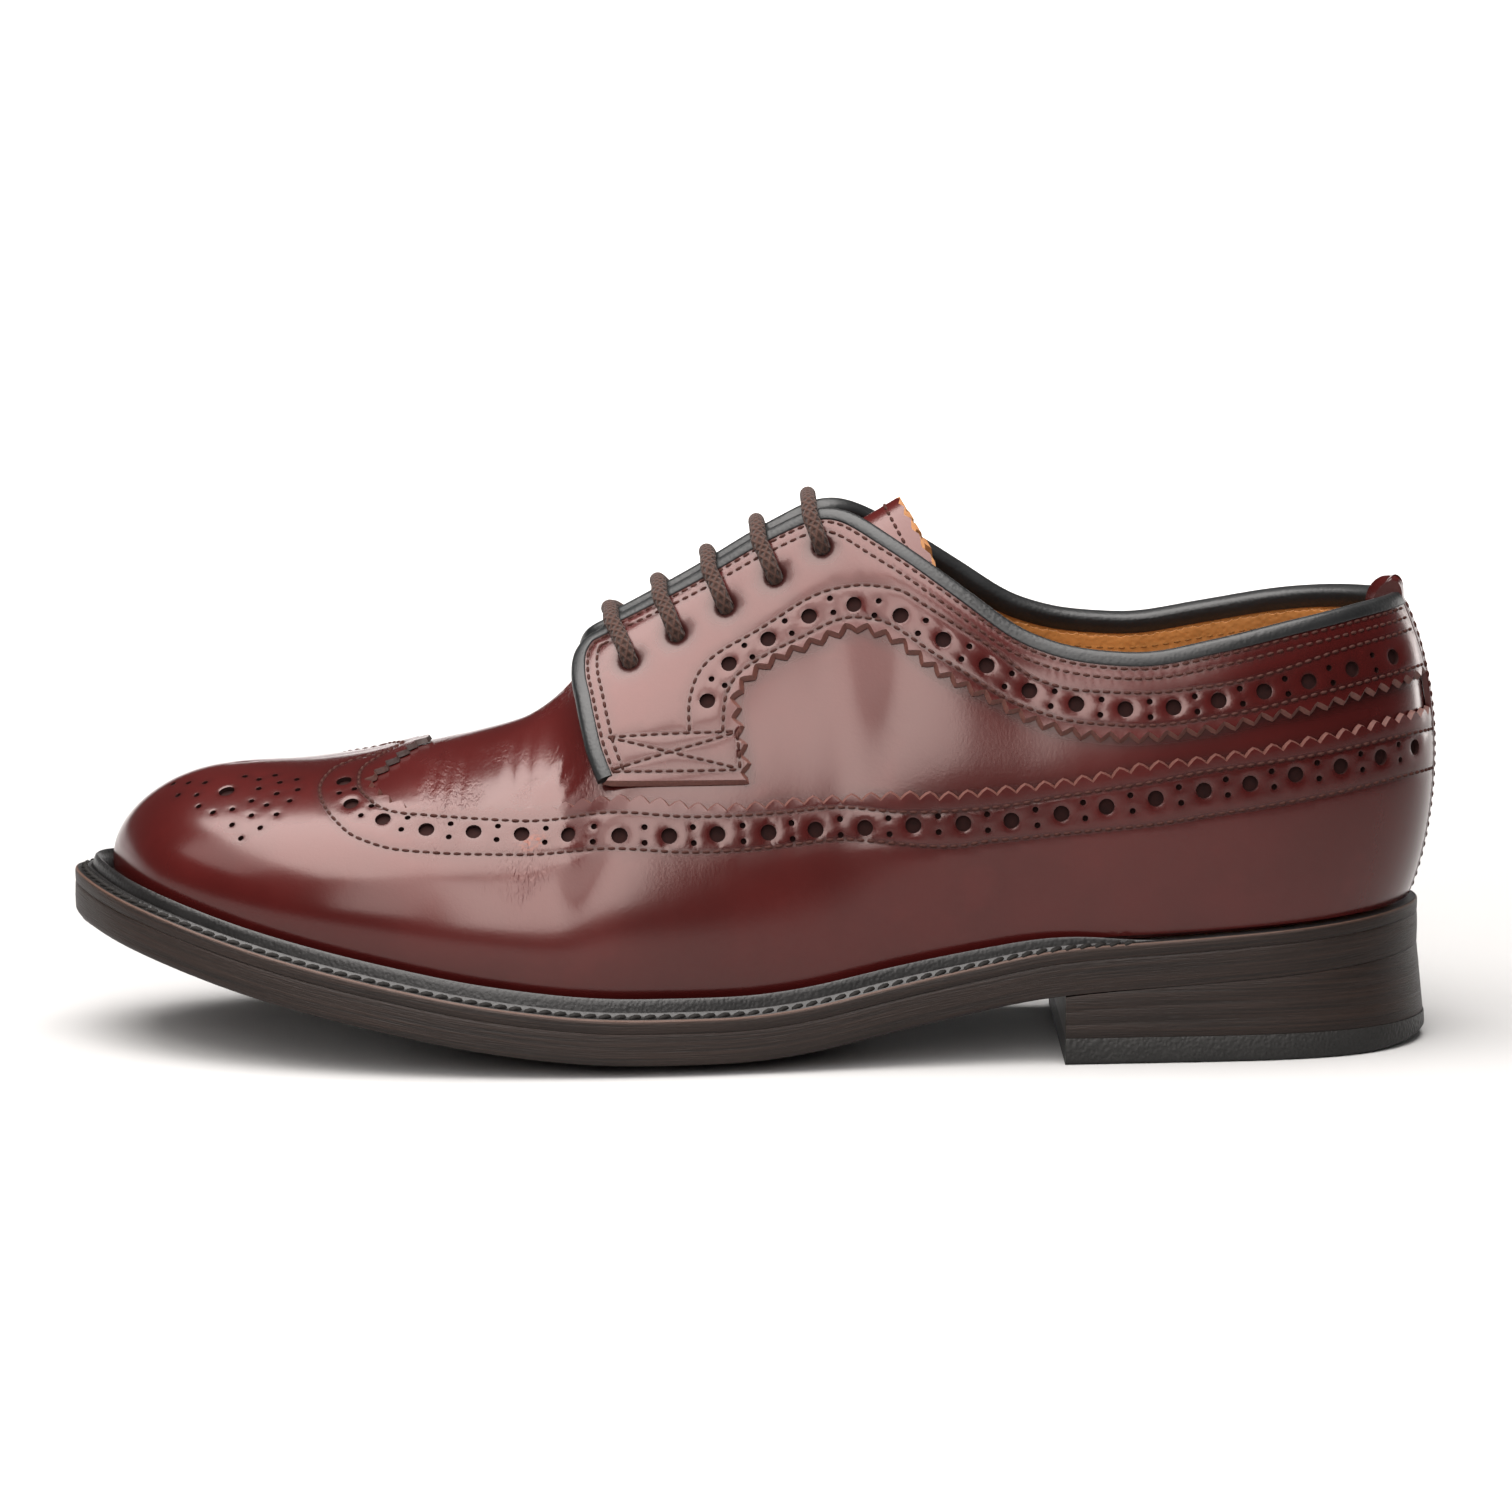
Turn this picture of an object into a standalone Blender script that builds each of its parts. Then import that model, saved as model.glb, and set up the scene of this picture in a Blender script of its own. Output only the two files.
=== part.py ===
"""Left brogue derby: hollow upper, wing cap and facing overlays, storm welt, leather sole and stacked heel.

Frame: +Z up, toe towards -X, heel towards +X, outer side of the foot towards -Y, floor at Z = 0.
Sizes and tables are in millimetres; add_piece turns them into metres.

The last is a loop of upright sections. Loop place 0 is the middle of the heel and 1 the tip of the toe:
0 to 1 runs along the outer side, and 1 to 2 back along the inner side. Each section climbs from the
feather line (height 0) to the ridge, facing edge or topline (height 1).
"""
import bmesh
import bpy
import numpy as np

MM = 0.001

# Sole and heel
SOLE_THICK = 7.2            # outsole, at its edge
SOLE_ROUND = 1.4            # rounded lower edge
SOLE_CURL = 0.45            # share of the half width where the underside starts to rise
WELT_THICK = 2.9            # welt under the upper
WELT_TUCK = 5.0             # welt hidden under upper and insole
BEAD_HIGH = 3.0             # storm bead above the welt
WALL_FLARE = 2.0            # how far the upper leans out over the height of the bead
INSOLE_THICK = 3.0
INSOLE_PLAY = 0.8           # between the insole's edge and the upper
BREAST_X = 70.0             # front face of the heel
TOP_PIECE = 6.0
TOE_TIP = (-155.2, 5.0)     # x, y of the sole's front end
HEEL_END = (152.2, 0.0)
SEAM = 0.3                  # clear gap between pieces that meet

# Upper
WALL = 2.2                  # leather with its lining
OVERLAY = 1.2
OVERLAY_FOOT = 0.02         # overlays start this far up the section
BINDING_HIGH = 2.2
BINDING_BULGE = 0.2
STRIP_HALF = 0.030          # back strip's half width, as a share of the loop
STRIP_PLAY = 0.002          # room beside the back strip, as a share of the loop
STRIP_CROWN = 5.2           # rolled top of the back strip above the topline
STRIP_TURN = 0.07           # back strip turned in over the lining, as a share of the section
THROAT_X = -43.0            # where the facings part
FACING_TAIL = 0.07          # how far the facings run past the throat, as a share of the loop
BINDING_FRONT_X = -31.0
EYELETS = 5
EYELET_RUN = (-31.0, 13.5)  # x of the first and last lace bar at the facing edge
EYELET_DROP = 0.16          # eyelet below the facing edge, as a share of the section
EYELET_LEAN = 4.0           # eyelet behind the place where its bar crosses the edge
LACE_RADIUS = 1.75
LACE_SIDES = 8
TONGUE_THICK = 2.4
TONGUE_ROUND = 1.7          # 2 would be a parabola across the tongue
TONGUE_UP = np.array((-0.5, 0.0, 0.87))     # square to the tongue's ridge
UP = np.array((0.0, 0.0, 1.0))

# Sole outline from above: x, outer half width, inner half width
SOLE_OUTLINE = (
    (143.0, 20.0, 20.0), (126.0, 30.0, 30.0), (100.0, 35.0, 34.0), (75.0, 37.5, 33.5),
    (48.0, 40.5, 33.0), (20.0, 45.5, 36.0), (-8.0, 50.8, 43.0), (-35.0, 54.0, 50.5),
    (-60.0, 54.4, 54.4), (-85.0, 51.5, 53.5), (-108.0, 45.0, 48.0), (-128.0, 35.2, 40.2),
    (-143.0, 22.2, 29.4), (-151.4, 8.4, 17.8))

# Sole along its length: x, underside at the middle, rise of the underside at its edge
SOLE_PROFILE = (
    (-156.0, 26.4, 1.5), (-140.0, 22.2, 1.8), (-110.0, 14.0, 2.0), (-80.0, 7.4, 2.2), (-57.0, 3.0, 2.4),
    (-30.0, 0.1, 2.5), (-26.0, 0.0, 2.5), (-4.0, 0.0, 2.5), (8.0, 1.1, 2.4), (33.0, 6.6, 2.0),
    (52.0, 11.2, 1.2), (68.0, 15.2, 0.3), (102.0, 17.8, 0.0), (125.0, 19.4, 0.0), (154.0, 22.0, 0.0))

# Heel: x, outset of the heel's foot, rise of its worn underside
HEEL = ((60.0, 0.4, 0.0), (100.0, 0.6, 0.0), (136.0, 1.6, 0.0), (146.0, 2.0, 0.8), (158.0, 2.2, 3.2))

# Welt: x, sole edge to feather line, share of the bead's height
WELT = (
    (-156.0, 10.8, 1.0), (-138.0, 10.0, 1.0), (-110.0, 9.6, 1.0), (-20.0, 9.4, 1.0), (20.0, 8.6, 1.0),
    (50.0, 7.4, 0.9), (72.0, 6.0, 0.6), (92.0, 4.8, 0.0), (120.0, 4.2, 0.0), (152.0, 4.0, 0.0))

# Sections: feather line x, wall lean on the outer and inner side, wall reach, shoulder reach, shoulder drop
SECTIONS = (
    (147.0, 8.0, 8.0, 19.0, 9.9, 17.0), (133.0, 7.0, 7.0, 19.0, 8.4, 18.0),
    (110.0, 5.0, 5.0, 20.0, 6.5, 18.0), (82.0, 5.0, 5.0, 22.0, 7.5, 18.0),
    (50.0, 7.0, 5.0, 26.0, 12.0, 22.0), (15.0, 9.5, 7.0, 28.0, 15.0, 14.0),
    (-12.0, 12.0, 10.0, 26.0, 17.0, 12.5), (-38.0, 13.0, 12.0, 22.0, 22.0, 8.0),
    (-62.0, 13.0, 13.0, 20.0, 25.0, 2.0), (-88.0, 11.5, 12.0, 17.0, 24.0, 0.0),
    (-112.0, 9.0, 9.5, 14.5, 20.0, 0.0), (-133.0, 6.0, 6.5, 12.5, 17.0, 0.0),
    (-144.0, 3.0, 3.0, 11.0, 14.5, 0.0))

# Tops of sections: feather line x, top x, half gap, z, rise on the inner side, facing's half gap and z
TOP_LINE = (
    (147.0, 147.3, 0.0, 99.8, 0.0, 0.0, 99.8), (138.0, 138.0, 14.0, 98.8, 0.6, 14.0, 98.8),
    (124.0, 123.0, 23.5, 96.3, 1.4, 23.5, 96.3), (104.0, 104.0, 27.3, 92.1, 2.0, 27.3, 92.1),
    (84.0, 86.0, 28.2, 89.0, 2.4, 28.2, 89.0), (72.0, 74.0, 27.6, 89.8, 2.4, 27.6, 89.8),
    (59.0, 61.0, 25.8, 93.4, 2.0, 25.8, 93.4), (44.0, 46.0, 22.5, 103.4, 1.4, 22.5, 103.4),
    (31.0, 32.0, 17.5, 112.8, 0.8, 17.5, 112.8), (17.0, 17.5, 9.5, 119.8, 0.4, 9.5, 119.8),
    (6.0, 6.0, 8.0, 115.2, 0.0, 8.0, 115.2), (-12.0, -12.0, 7.5, 104.6, 0.0, 7.5, 104.6),
    (-29.0, -29.0, 6.8, 94.6, 0.0, 7.0, 95.4), (-36.0, -36.0, 4.8, 87.2, 0.0, 7.0, 91.8),
    (-43.0, -43.0, 0.0, 78.4, 0.0, 7.0, 88.2), (-50.0, -51.0, 0.0, 73.9, 0.0, 7.0, 84.0),
    (-62.0, -62.0, 0.0, 70.1, 0.0, 7.0, 78.0), (-76.0, -74.0, 0.0, 66.9, 0.0, 7.0, 71.0),
    (-92.0, -88.0, 0.0, 63.2, 0.0, 7.0, 66.0), (-112.0, -101.0, 0.0, 61.4, 0.0, 7.0, 62.0),
    (-133.0, -112.0, 0.0, 60.8, 0.0, 7.0, 60.8), (-144.0, -117.0, 0.0, 60.3, 0.0, 7.0, 60.3))

# Swing of the ridge towards the inner side: x, y
RIDGE_SWING = ((150.0, 0.0), (60.0, 0.0), (0.0, 0.5), (-60.0, 2.0), (-118.0, 4.5))

# Wing cap's edge from the side, back to front, and the rest of its outline: x, z
WING_EDGE = (
    (170.0, 77.0), (150.0, 74.5), (135.0, 72.5), (110.0, 69.0), (76.0, 64.0), (45.0, 59.5), (15.0, 58.0),
    (-20.0, 57.0), (-50.0, 55.5), (-68.0, 55.0), (-78.0, 56.0), (-85.0, 58.5), (-87.0, 61.0),
    (-85.0, 63.5), (-79.0, 66.0), (-74.0, 68.5), (-71.0, 80.0))
WING_REST = ((-190.0, 80.0), (-190.0, 0.0), (170.0, 0.0))

# Collar's lower edge from the side, back to front, and the facing's front edge and corner: x, z
COLLAR_EDGE = (
    (170.0, 88.0), (150.0, 84.0), (135.0, 80.5), (112.0, 75.5), (90.0, 72.5), (76.0, 72.5), (62.0, 76.0),
    (50.0, 81.5), (38.0, 90.0), (30.0, 96.0), (22.0, 97.5), (10.0, 93.5), (2.0, 88.0), (-2.0, 80.0),
    (-2.5, 64.5))
FACING_FRONT = (
    (-35.5, 64.0), (-37.5, 72.0), (-39.5, 80.0), (-39.8, 84.0), (-38.5, 88.0), (-35.5, 91.0),
    (-30.0, 95.5), (-22.0, 120.0), (-10.0, 130.0), (170.0, 130.0))

# Tongue: x, z of its ridge, half width, drop of its sides square to the ridge
TONGUE = (
    (-56.0, 65.5, 13.0, 4.0), (-44.0, 72.0, 14.5, 6.5), (-34.0, 79.8, 16.0, 9.0), (-20.0, 89.8, 17.0, 11.5),
    (0.0, 103.0, 18.0, 14.5), (16.0, 113.0, 17.0, 15.5), (26.0, 119.0, 16.5, 16.0), (33.5, 123.5, 16.0, 16.0))

# Fineness
SHELL_COLUMNS = 34          # sections on each side of the shoe
SHELL_ROWS = 8
SHELL_CROWD = 0.35          # how much closer the sections are at heel and toe
SOLE_COLUMNS = 32
HEEL_COLUMNS = 14
STRIP_COLUMNS = 6
TONGUE_COLUMNS, TONGUE_ROWS = 8, 12
DENSE = 2400                # samples of a curve
ROUNDED = (0.0, 0.12, 0.3, 0.5, 0.7, 0.88, 1.0)     # shares across a plate
FLAT = (0.0, 0.5, 1.0)
CUT_SIDE = 90.0             # reach of a cutter to either side
WELD = 2e-6                 # metres
SHARP = 0.6                 # radians between faces that stay sharp

COLOURS = {                 # base colour, roughness
    "leather": ((0.14, 0.020, 0.018), 0.25),
    "sole": ((0.055, 0.030, 0.020), 0.50),
    "welt": ((0.020, 0.018, 0.017), 0.50),
    "rubber": ((0.015, 0.014, 0.014), 0.70),
    "insole": ((0.450, 0.220, 0.080), 0.60),
    "binding": ((0.020, 0.020, 0.020), 0.40),
    "cotton": ((0.070, 0.045, 0.035), 0.80)}


def columns_of(table):
    return [np.array(column, float) for column in zip(*table)]


def table_curve(at, value, soften, even=False):
    """A curve through a table's rows that does not overshoot, rounded over the length soften."""
    order = np.argsort(at)
    at, value = np.asarray(at, float)[order], np.asarray(value, float)[order]
    step, slope = np.diff(at), np.diff(value) / np.diff(at)
    rising = slope[:-1] * slope[1:] > 0
    before, after = np.where(rising, slope[:-1], 1.0), np.where(rising, slope[1:], 1.0)
    near, far = 2 * step[1:] + step[:-1], step[1:] + 2 * step[:-1]
    tangent = np.zeros(len(at))
    tangent[1:-1] = np.where(rising, (near + far) / (near / before + far / after), 0.0)
    if not even:
        tangent[0], tangent[-1] = slope[0], slope[-1]
    dense = np.linspace(at[0], at[-1], DENSE)
    k = np.clip(np.searchsorted(at, dense) - 1, 0, len(at) - 2)
    t = (dense - at[k]) / step[k]
    curve = ((1 + 2 * t) * (1 - t) ** 2 * value[k] + t * (1 - t) ** 2 * step[k] * tangent[k]
             + t * t * (3 - 2 * t) * value[k + 1] + t * t * (t - 1) * step[k] * tangent[k + 1])
    reach = max(1, int(3 * soften / (dense[1] - dense[0])))
    kernel = np.exp(-0.5 * (np.arange(-reach, reach + 1) * 3.0 / reach) ** 2)
    head, tail = curve[reach:0:-1], curve[-2:-reach - 2:-1]
    if not even:
        head, tail = 2 * curve[0] - head, 2 * curve[-1] - tail
    curve = np.convolve(np.concatenate((head, curve, tail)), kernel / kernel.sum(), "valid")
    return lambda x: np.interp(x, dense, curve)


def loop_spline(knots, points, at):
    """A closed curve of period 2 with even curvature through points at knots."""
    count = len(knots)
    step = np.diff(np.append(knots, knots[0] + 2))
    slope = (np.roll(points, -1, axis=0) - points) / step[:, None]
    matrix = np.zeros((count, count))
    for i in range(count):
        matrix[i, i - 1] += step[i - 1]
        matrix[i, i] += 2 * (step[i - 1] + step[i])
        matrix[i, (i + 1) % count] += step[i]
    bend = np.linalg.solve(matrix, 6 * (slope - np.roll(slope, 1, axis=0)))
    k = np.searchsorted(knots, at, side="right") - 1
    after = (k + 1) % count
    h = step[k][:, None]
    a = (at - knots[k])[:, None]
    b = h - a
    return (bend[k] * b ** 3 / (6 * h) + bend[after] * a ** 3 / (6 * h)
            + (points[k] / h - bend[k] * h / 6) * b + (points[after] / h - bend[after] * h / 6) * a)


def smooth_line(rows, steps):
    """Points along a rounded line through a table's rows."""
    rows = np.asarray(rows, float)
    padded = np.concatenate((2 * rows[:1] - rows[1:2], rows, 2 * rows[-1:] - rows[-2:-1]))
    line = []
    for a, b, c, d in zip(padded, padded[1:], padded[2:], padded[3:]):
        for t in np.arange(steps) / steps:
            curl = (2 * a - 5 * b + 4 * c - d) * t ** 2 + (3 * b - a - 3 * c + d) * t ** 3
            line.append(b + 0.5 * ((c - a) * t + curl))
    return np.array(line + [rows[-1]])


class Last:
    """The last's loop curves, worked out once from the tables."""

    def __init__(self):
        self.loop = np.linspace(0, 2, 2 * DENSE, endpoint=False)
        self.from_heel = np.minimum(self.loop, 2 - self.loop)
        self.inner_side = self.loop > 1
        x, middle, edge = columns_of(SOLE_PROFILE)
        self.underside, self.edge_rise = table_curve(x, middle, 5), table_curve(x, edge, 6)
        x, margin, bead = columns_of(WELT)
        self.margin, self.bead = table_curve(x, margin, 6), table_curve(x, bead, 5)
        self.set_outline()
        self.set_sections()
        self.set_tops()
        self.throat = float(self.place_of(THROAT_X))

    def set_outline(self):
        x, outer, inner = columns_of(SOLE_OUTLINE)
        heel, toe = np.array([HEEL_END]), np.array([TOE_TIP])
        outer = np.concatenate((heel, np.column_stack((x, -outer)), toe))
        inner = np.concatenate((heel, np.column_stack((x, inner)), toe))
        rows = 0.0
        for side in (outer, inner):
            chord = np.insert(np.cumsum(np.hypot(*np.diff(side, axis=0).T)), 0, 0.0)
            rows = rows + chord / chord[-1] / 2
        knots = np.concatenate((rows, 2 - rows[-2:0:-1]))
        self.outline = loop_spline(knots, np.concatenate((outer, inner[-2:0:-1])), self.loop)
        along = np.roll(self.outline, -1, axis=0) - np.roll(self.outline, 1, axis=0)
        along /= np.hypot(*along.T)[:, None]
        self.out = np.column_stack((-along[:, 1], along[:, 0]))
        feather = self.outline - self.out * self.margin(self.outline[:, 0])[:, None]
        self.feather = np.column_stack((feather, self.upper_base(feather[:, 0])))

    def set_sections(self):
        x, outer, inner, *others = columns_of(SECTIONS)
        at = self.place_of(x)
        outer, inner = [table_curve(at, column, 0.03, True)(self.from_heel) for column in (outer, inner)]
        blend = np.clip(np.minimum(self.from_heel, 1 - self.from_heel) / 0.12, 0, 1)
        share = 0.5 + (self.inner_side - 0.5) * blend ** 2 * (3 - 2 * blend)
        self.lean = outer * (1 - share) + inner * share
        others = [table_curve(at, column, 0.03, True)(self.from_heel) for column in others]
        self.reach, self.shoulder, self.drop = others

    def set_tops(self):
        x, top_x, gap, z, inner_rise, facing_gap, facing_z = columns_of(TOP_LINE)
        at = self.place_of(x)
        swing = table_curve(*columns_of(RIDGE_SWING), 12)
        ridge_x = table_curve(at, top_x, 0.012, True)(self.from_heel)
        rise = table_curve(at, inner_rise, 0.02, True)(self.from_heel) * self.inner_side
        side = np.where(self.inner_side, 1.0, -1.0)
        tops = []
        for g, h in ((gap, z), (facing_gap, facing_z)):
            half = np.maximum(table_curve(at, g, 0.006)(self.from_heel), 0.0)
            height = table_curve(at, h, 0.008, True)(self.from_heel) + rise
            tops.append(np.column_stack((ridge_x, swing(ridge_x) + side * half, height)))
        self.top, self.facing_top = tops

    def place_of(self, x):
        """Loop place on the outer side whose feather line point has this x."""
        half = self.loop <= 1
        return np.interp(-np.asarray(x, float), -self.feather[half][:, 0], self.loop[half])

    def sole_edge(self, x):
        return self.underside(x) + self.edge_rise(x)

    def welt_base(self, x):
        return self.sole_edge(x) + SOLE_THICK + SEAM

    def upper_base(self, x):
        return self.welt_base(x) + WELT_THICK + SEAM

    def at(self, curve, place):
        """A loop curve's values at these places."""
        if curve.ndim == 1:
            return np.interp(place, self.loop, curve, period=2)
        return np.stack([np.interp(place, self.loop, column, period=2) for column in curve.T], axis=-1)

    def point(self, place, height, facing=False):
        """Outer face of the upper; facing picks the surface that the facings lie on."""
        flat = np.zeros(np.shape(place) + (1,))
        out = np.concatenate((self.at(self.out, place), flat), axis=-1)
        lean, reach, shoulder, drop = [
            self.at(curve, place)[..., None] for curve in (self.lean, self.reach, self.shoulder, self.drop)]
        foot = self.at(self.feather, place)
        top = self.at(self.facing_top if facing else self.top, place)
        wall = foot + out * lean + UP * reach
        crest = top + out * shoulder - UP * drop
        t = np.asarray(height, float)[..., None]
        s = 1 - t
        return foot * s ** 3 + wall * 3 * t * s ** 2 + crest * 3 * t ** 2 * s + top * t ** 3

    def normal(self, place, height, facing=False):
        """Outward direction of the upper's face."""
        height = np.clip(height, 0.01, 0.97)
        around = self.point(place + 0.003, height, facing) - self.point(place - 0.003, height, facing)
        rising = self.point(place, height + 0.01, facing) - self.point(place, height - 0.01, facing)
        across = np.cross(rising, around)
        return across / np.linalg.norm(across, axis=-1, keepdims=True)

    def lifted(self, place, height, lift, facing=False):
        """A point at this lift off the upper's face."""
        place, height = np.broadcast_arrays(np.asarray(place, float), np.asarray(height, float))
        return self.point(place, height, facing) + self.normal(place, height, facing) * lift

    def edge_frame(self, place):
        """Facing edge or topline: a point, the way up out of the leather, and the way out across it."""
        edge = self.point(place, 1.0, True)
        rising = edge - self.point(place, 0.97, True)
        return edge, rising / np.linalg.norm(rising), self.normal(place, 1.0, True)


def smooth_mesh(mesh):
    mesh.shade_smooth()
    mesh.set_sharp_from_angle(angle=SHARP)


def add_piece(name, points, faces, kind):
    """One closed, triangulated piece with its own material."""
    mesh = bpy.data.meshes.new(name)
    mesh.from_pydata([tuple(p) for p in np.asarray(points) * MM], [], [tuple(f) for f in faces])
    build = bmesh.new()
    build.from_mesh(mesh)
    bmesh.ops.triangulate(build, faces=build.faces)
    bmesh.ops.recalc_face_normals(build, faces=build.faces)
    if build.calc_volume(signed=True) < 0:
        bmesh.ops.reverse_faces(build, faces=build.faces)
    build.to_mesh(mesh)
    build.free()
    smooth_mesh(mesh)
    colour, rough = COLOURS[kind]
    material = bpy.data.materials.new(name)
    material.use_nodes = True
    shader = material.node_tree.nodes["Principled BSDF"]
    shader.inputs["Base Color"].default_value = (*colour, 1.0)
    shader.inputs["Roughness"].default_value = rough
    mesh.materials.append(material)
    piece = bpy.data.objects.new(name, mesh)
    bpy.context.scene.collection.objects.link(piece)
    return piece


def add_faces(name, points, faces, kind):
    """A piece from numbered corners; corners of a face that share a number become one."""
    faces = [list(dict.fromkeys(int(corner) for corner in face)) for face in faces]
    faces = [face for face in faces if len(face) > 2]
    used = sorted({corner for face in faces for corner in face})
    number = {corner: place for place, corner in enumerate(used)}
    faces = [[number[corner] for corner in face] for face in faces]
    return add_piece(name, np.reshape(points, (-1, 3))[used], faces, kind)


def cell(number, j, k):
    """Corners of one cell of a grid of numbers."""
    return number[j, k], number[j, k + 1], number[j + 1, k + 1], number[j + 1, k]


def ring_piece(name, rings, kind, closed=False):
    """Rings of equal length joined to a tube, closed on itself or with flat ends."""
    rings = np.asarray(rings)
    count, size = rings.shape[:2]
    number = np.arange(count * size).reshape(count, size)
    ends = [number[0], number[-1]]
    number = np.column_stack((number, number[:, 0]))
    if closed:
        ends = []
        number = np.concatenate((number, number[:1]))
    faces = [cell(number, j, k) for j in range(len(number) - 1) for k in range(size)]
    return add_faces(name, rings, faces + ends, kind)


def plate(name, last, places, layers, kind, shares=FLAT):
    """A plate under the foot. Layers, low to high, are an outset from the sole's outline, which takes x,
    and a height, which takes x and how near the spot is to the edge."""
    grid = np.zeros((len(layers), len(places), len(shares), 3))
    for level, (outset, height) in enumerate(layers):
        for j, place in enumerate(places):
            ends = []
            for p in (place, 2 - place):
                spot = last.at(last.outline, p)
                ends.append(spot + last.at(last.out, p) * outset(spot[0]))
            for k, share in enumerate(shares):
                x, y = ends[0] + (ends[1] - ends[0]) * share
                grid[level, j, k] = x, y, height(x, abs(2 * share - 1))
    number = np.arange(grid[..., 0].size).reshape(grid.shape[:3])
    number[:, 0, :] = number[:, 0, :1]
    ends_in_toe = places[-1] == 1
    if ends_in_toe:
        number[:, -1, :] = number[:, -1, :1]
    steps, columns = range(len(layers) - 1), range(len(shares) - 1)
    faces = []
    for j in range(len(places) - 1):
        faces += [cell(number[level], j, k) for level in (0, -1) for k in columns]
        faces += [cell(number[:, :, side], level, j) for level in steps for side in (0, -1)]
    if not ends_in_toe:
        faces += [cell(number[:, -1], level, k) for level in steps for k in columns]
    return add_faces(name, grid, faces, kind)


def shell(name, last, places, heights, lifts, kind, facing=False, closed=False):
    """A wall between two lifts off the upper's face. In front of the throat its sides meet at the ridge."""
    count, rows = len(places), len(heights)
    place, height = np.meshgrid(places, heights, indexing="ij")
    points = np.stack([last.lifted(place, height, lift, facing) for lift in lifts])
    number = np.arange(2 * count * rows).reshape(2, count, rows)
    joined = np.zeros(count, bool)
    if not facing:
        joined = np.abs(places - 1) < 1 - last.throat + 1e-6
    for j in np.flatnonzero(joined & (places <= 1)):
        other = int(np.argmin(np.abs(places - (2 - places[j]))))
        points[:, j, -1] = (points[:, j, -1] + points[:, other, -1]) / 2
        number[:, other, -1] = number[:, j, -1]
    if closed:
        number = np.concatenate((number, number[:, :1]), axis=1)
        joined = np.append(joined, joined[0])
    faces = []
    for j in range(number.shape[1] - 1):
        faces += [cell(number[layer], j, i) for layer in (0, 1) for i in range(rows - 1)]
        faces.append(cell(number[:, :, 0], 0, j))
        if not (joined[j] and joined[j + 1]):
            faces.append(cell(number[:, :, -1], 0, j))
    if not closed:
        faces += [cell(number[:, j], 0, i) for j in (0, -1) for i in range(rows - 1)]
    return add_faces(name, points, faces, kind)


def keep_inside(piece, outline, near, far):
    """Keep what lies inside an outline seen from the side, between two Y planes."""
    outline = np.asarray(outline)
    rings = [np.column_stack((outline[:, 0], np.full(len(outline), y), outline[:, 1])) for y in (near, far)]
    cutter = ring_piece("cutter", rings, "leather")
    modifier = piece.modifiers.new("cut", "BOOLEAN")
    modifier.operation = "INTERSECT"
    modifier.solver = "EXACT"
    modifier.object = cutter
    graph = bpy.context.evaluated_depsgraph_get()
    mesh = bpy.data.meshes.new_from_object(piece.evaluated_get(graph))
    piece.modifiers.clear()
    build = bmesh.new()
    build.from_mesh(mesh)
    bmesh.ops.remove_doubles(build, verts=build.verts, dist=WELD)
    bmesh.ops.dissolve_degenerate(build, edges=build.edges, dist=WELD)
    bmesh.ops.triangulate(build, faces=build.faces)
    build.to_mesh(mesh)
    build.free()
    smooth_mesh(mesh)
    piece.data = mesh
    bpy.data.objects.remove(cutter)


def side_places(last):
    """Places from heel to toe, closer at the ends, with one on the strip's edge and one on the throat."""
    even = np.linspace(0, 1, SHELL_COLUMNS + 1)
    places = even - SHELL_CROWD * np.sin(2 * np.pi * even) / (2 * np.pi)
    for exact in (STRIP_HALF, last.throat):
        places[np.argmin(np.abs(places - exact))] = exact
    return places


def build_outsole(last):
    def underside(x, edge):
        curl = np.clip((edge - SOLE_CURL) / (1 - SOLE_CURL), 0, 1)
        return last.underside(x) + last.edge_rise(x) * curl ** 2

    def level(lift):
        return lambda x, edge: last.sole_edge(x) + lift

    top_round = SOLE_ROUND / 3
    layers = (
        (lambda x: -SOLE_ROUND, underside),
        (lambda x: 0.0, level(SOLE_ROUND)),
        (lambda x: 0.0, level(SOLE_THICK - top_round)),
        (lambda x: -top_round, level(SOLE_THICK)))
    plate("outsole", last, np.linspace(0, 1, SOLE_COLUMNS + 1), layers, "sole", ROUNDED)


def build_insole(last):
    def inset(x):
        return -last.margin(x) - WALL - INSOLE_PLAY

    layers = (
        (inset, lambda x, edge: last.upper_base(x)),
        (inset, lambda x, edge: last.upper_base(x) + INSOLE_THICK))
    plate("insole", last, np.linspace(0, 1, SOLE_COLUMNS + 1), layers, "insole")


def build_heel(last):
    x, outset, worn = columns_of(HEEL)
    flare, wear = table_curve(x, outset, 4), table_curve(x, worn, 1.5)
    breast = np.interp(-BREAST_X, -last.outline[:DENSE, 0], last.loop[:DENSE])
    places = np.linspace(0, breast, HEEL_COLUMNS + 1)
    stack = (
        (lambda x: 0.8 * flare(x), lambda x, edge: TOP_PIECE + SEAM),
        (lambda x: 0.4 * flare(x), lambda x, edge: 2 * TOP_PIECE),
        (lambda x: 0.0, lambda x, edge: last.underside(x) - SEAM))
    plate("heel_stack", last, places, stack, "sole")
    top_piece = (
        (lambda x: flare(x) - 0.8, lambda x, edge: wear(x)),
        (flare, lambda x, edge: 0.8 * wear(x) + 0.2 * TOP_PIECE),
        (lambda x: 0.9 * flare(x), lambda x, edge: TOP_PIECE))
    plate("heel_top_piece", last, places, top_piece, "rubber")


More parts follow.
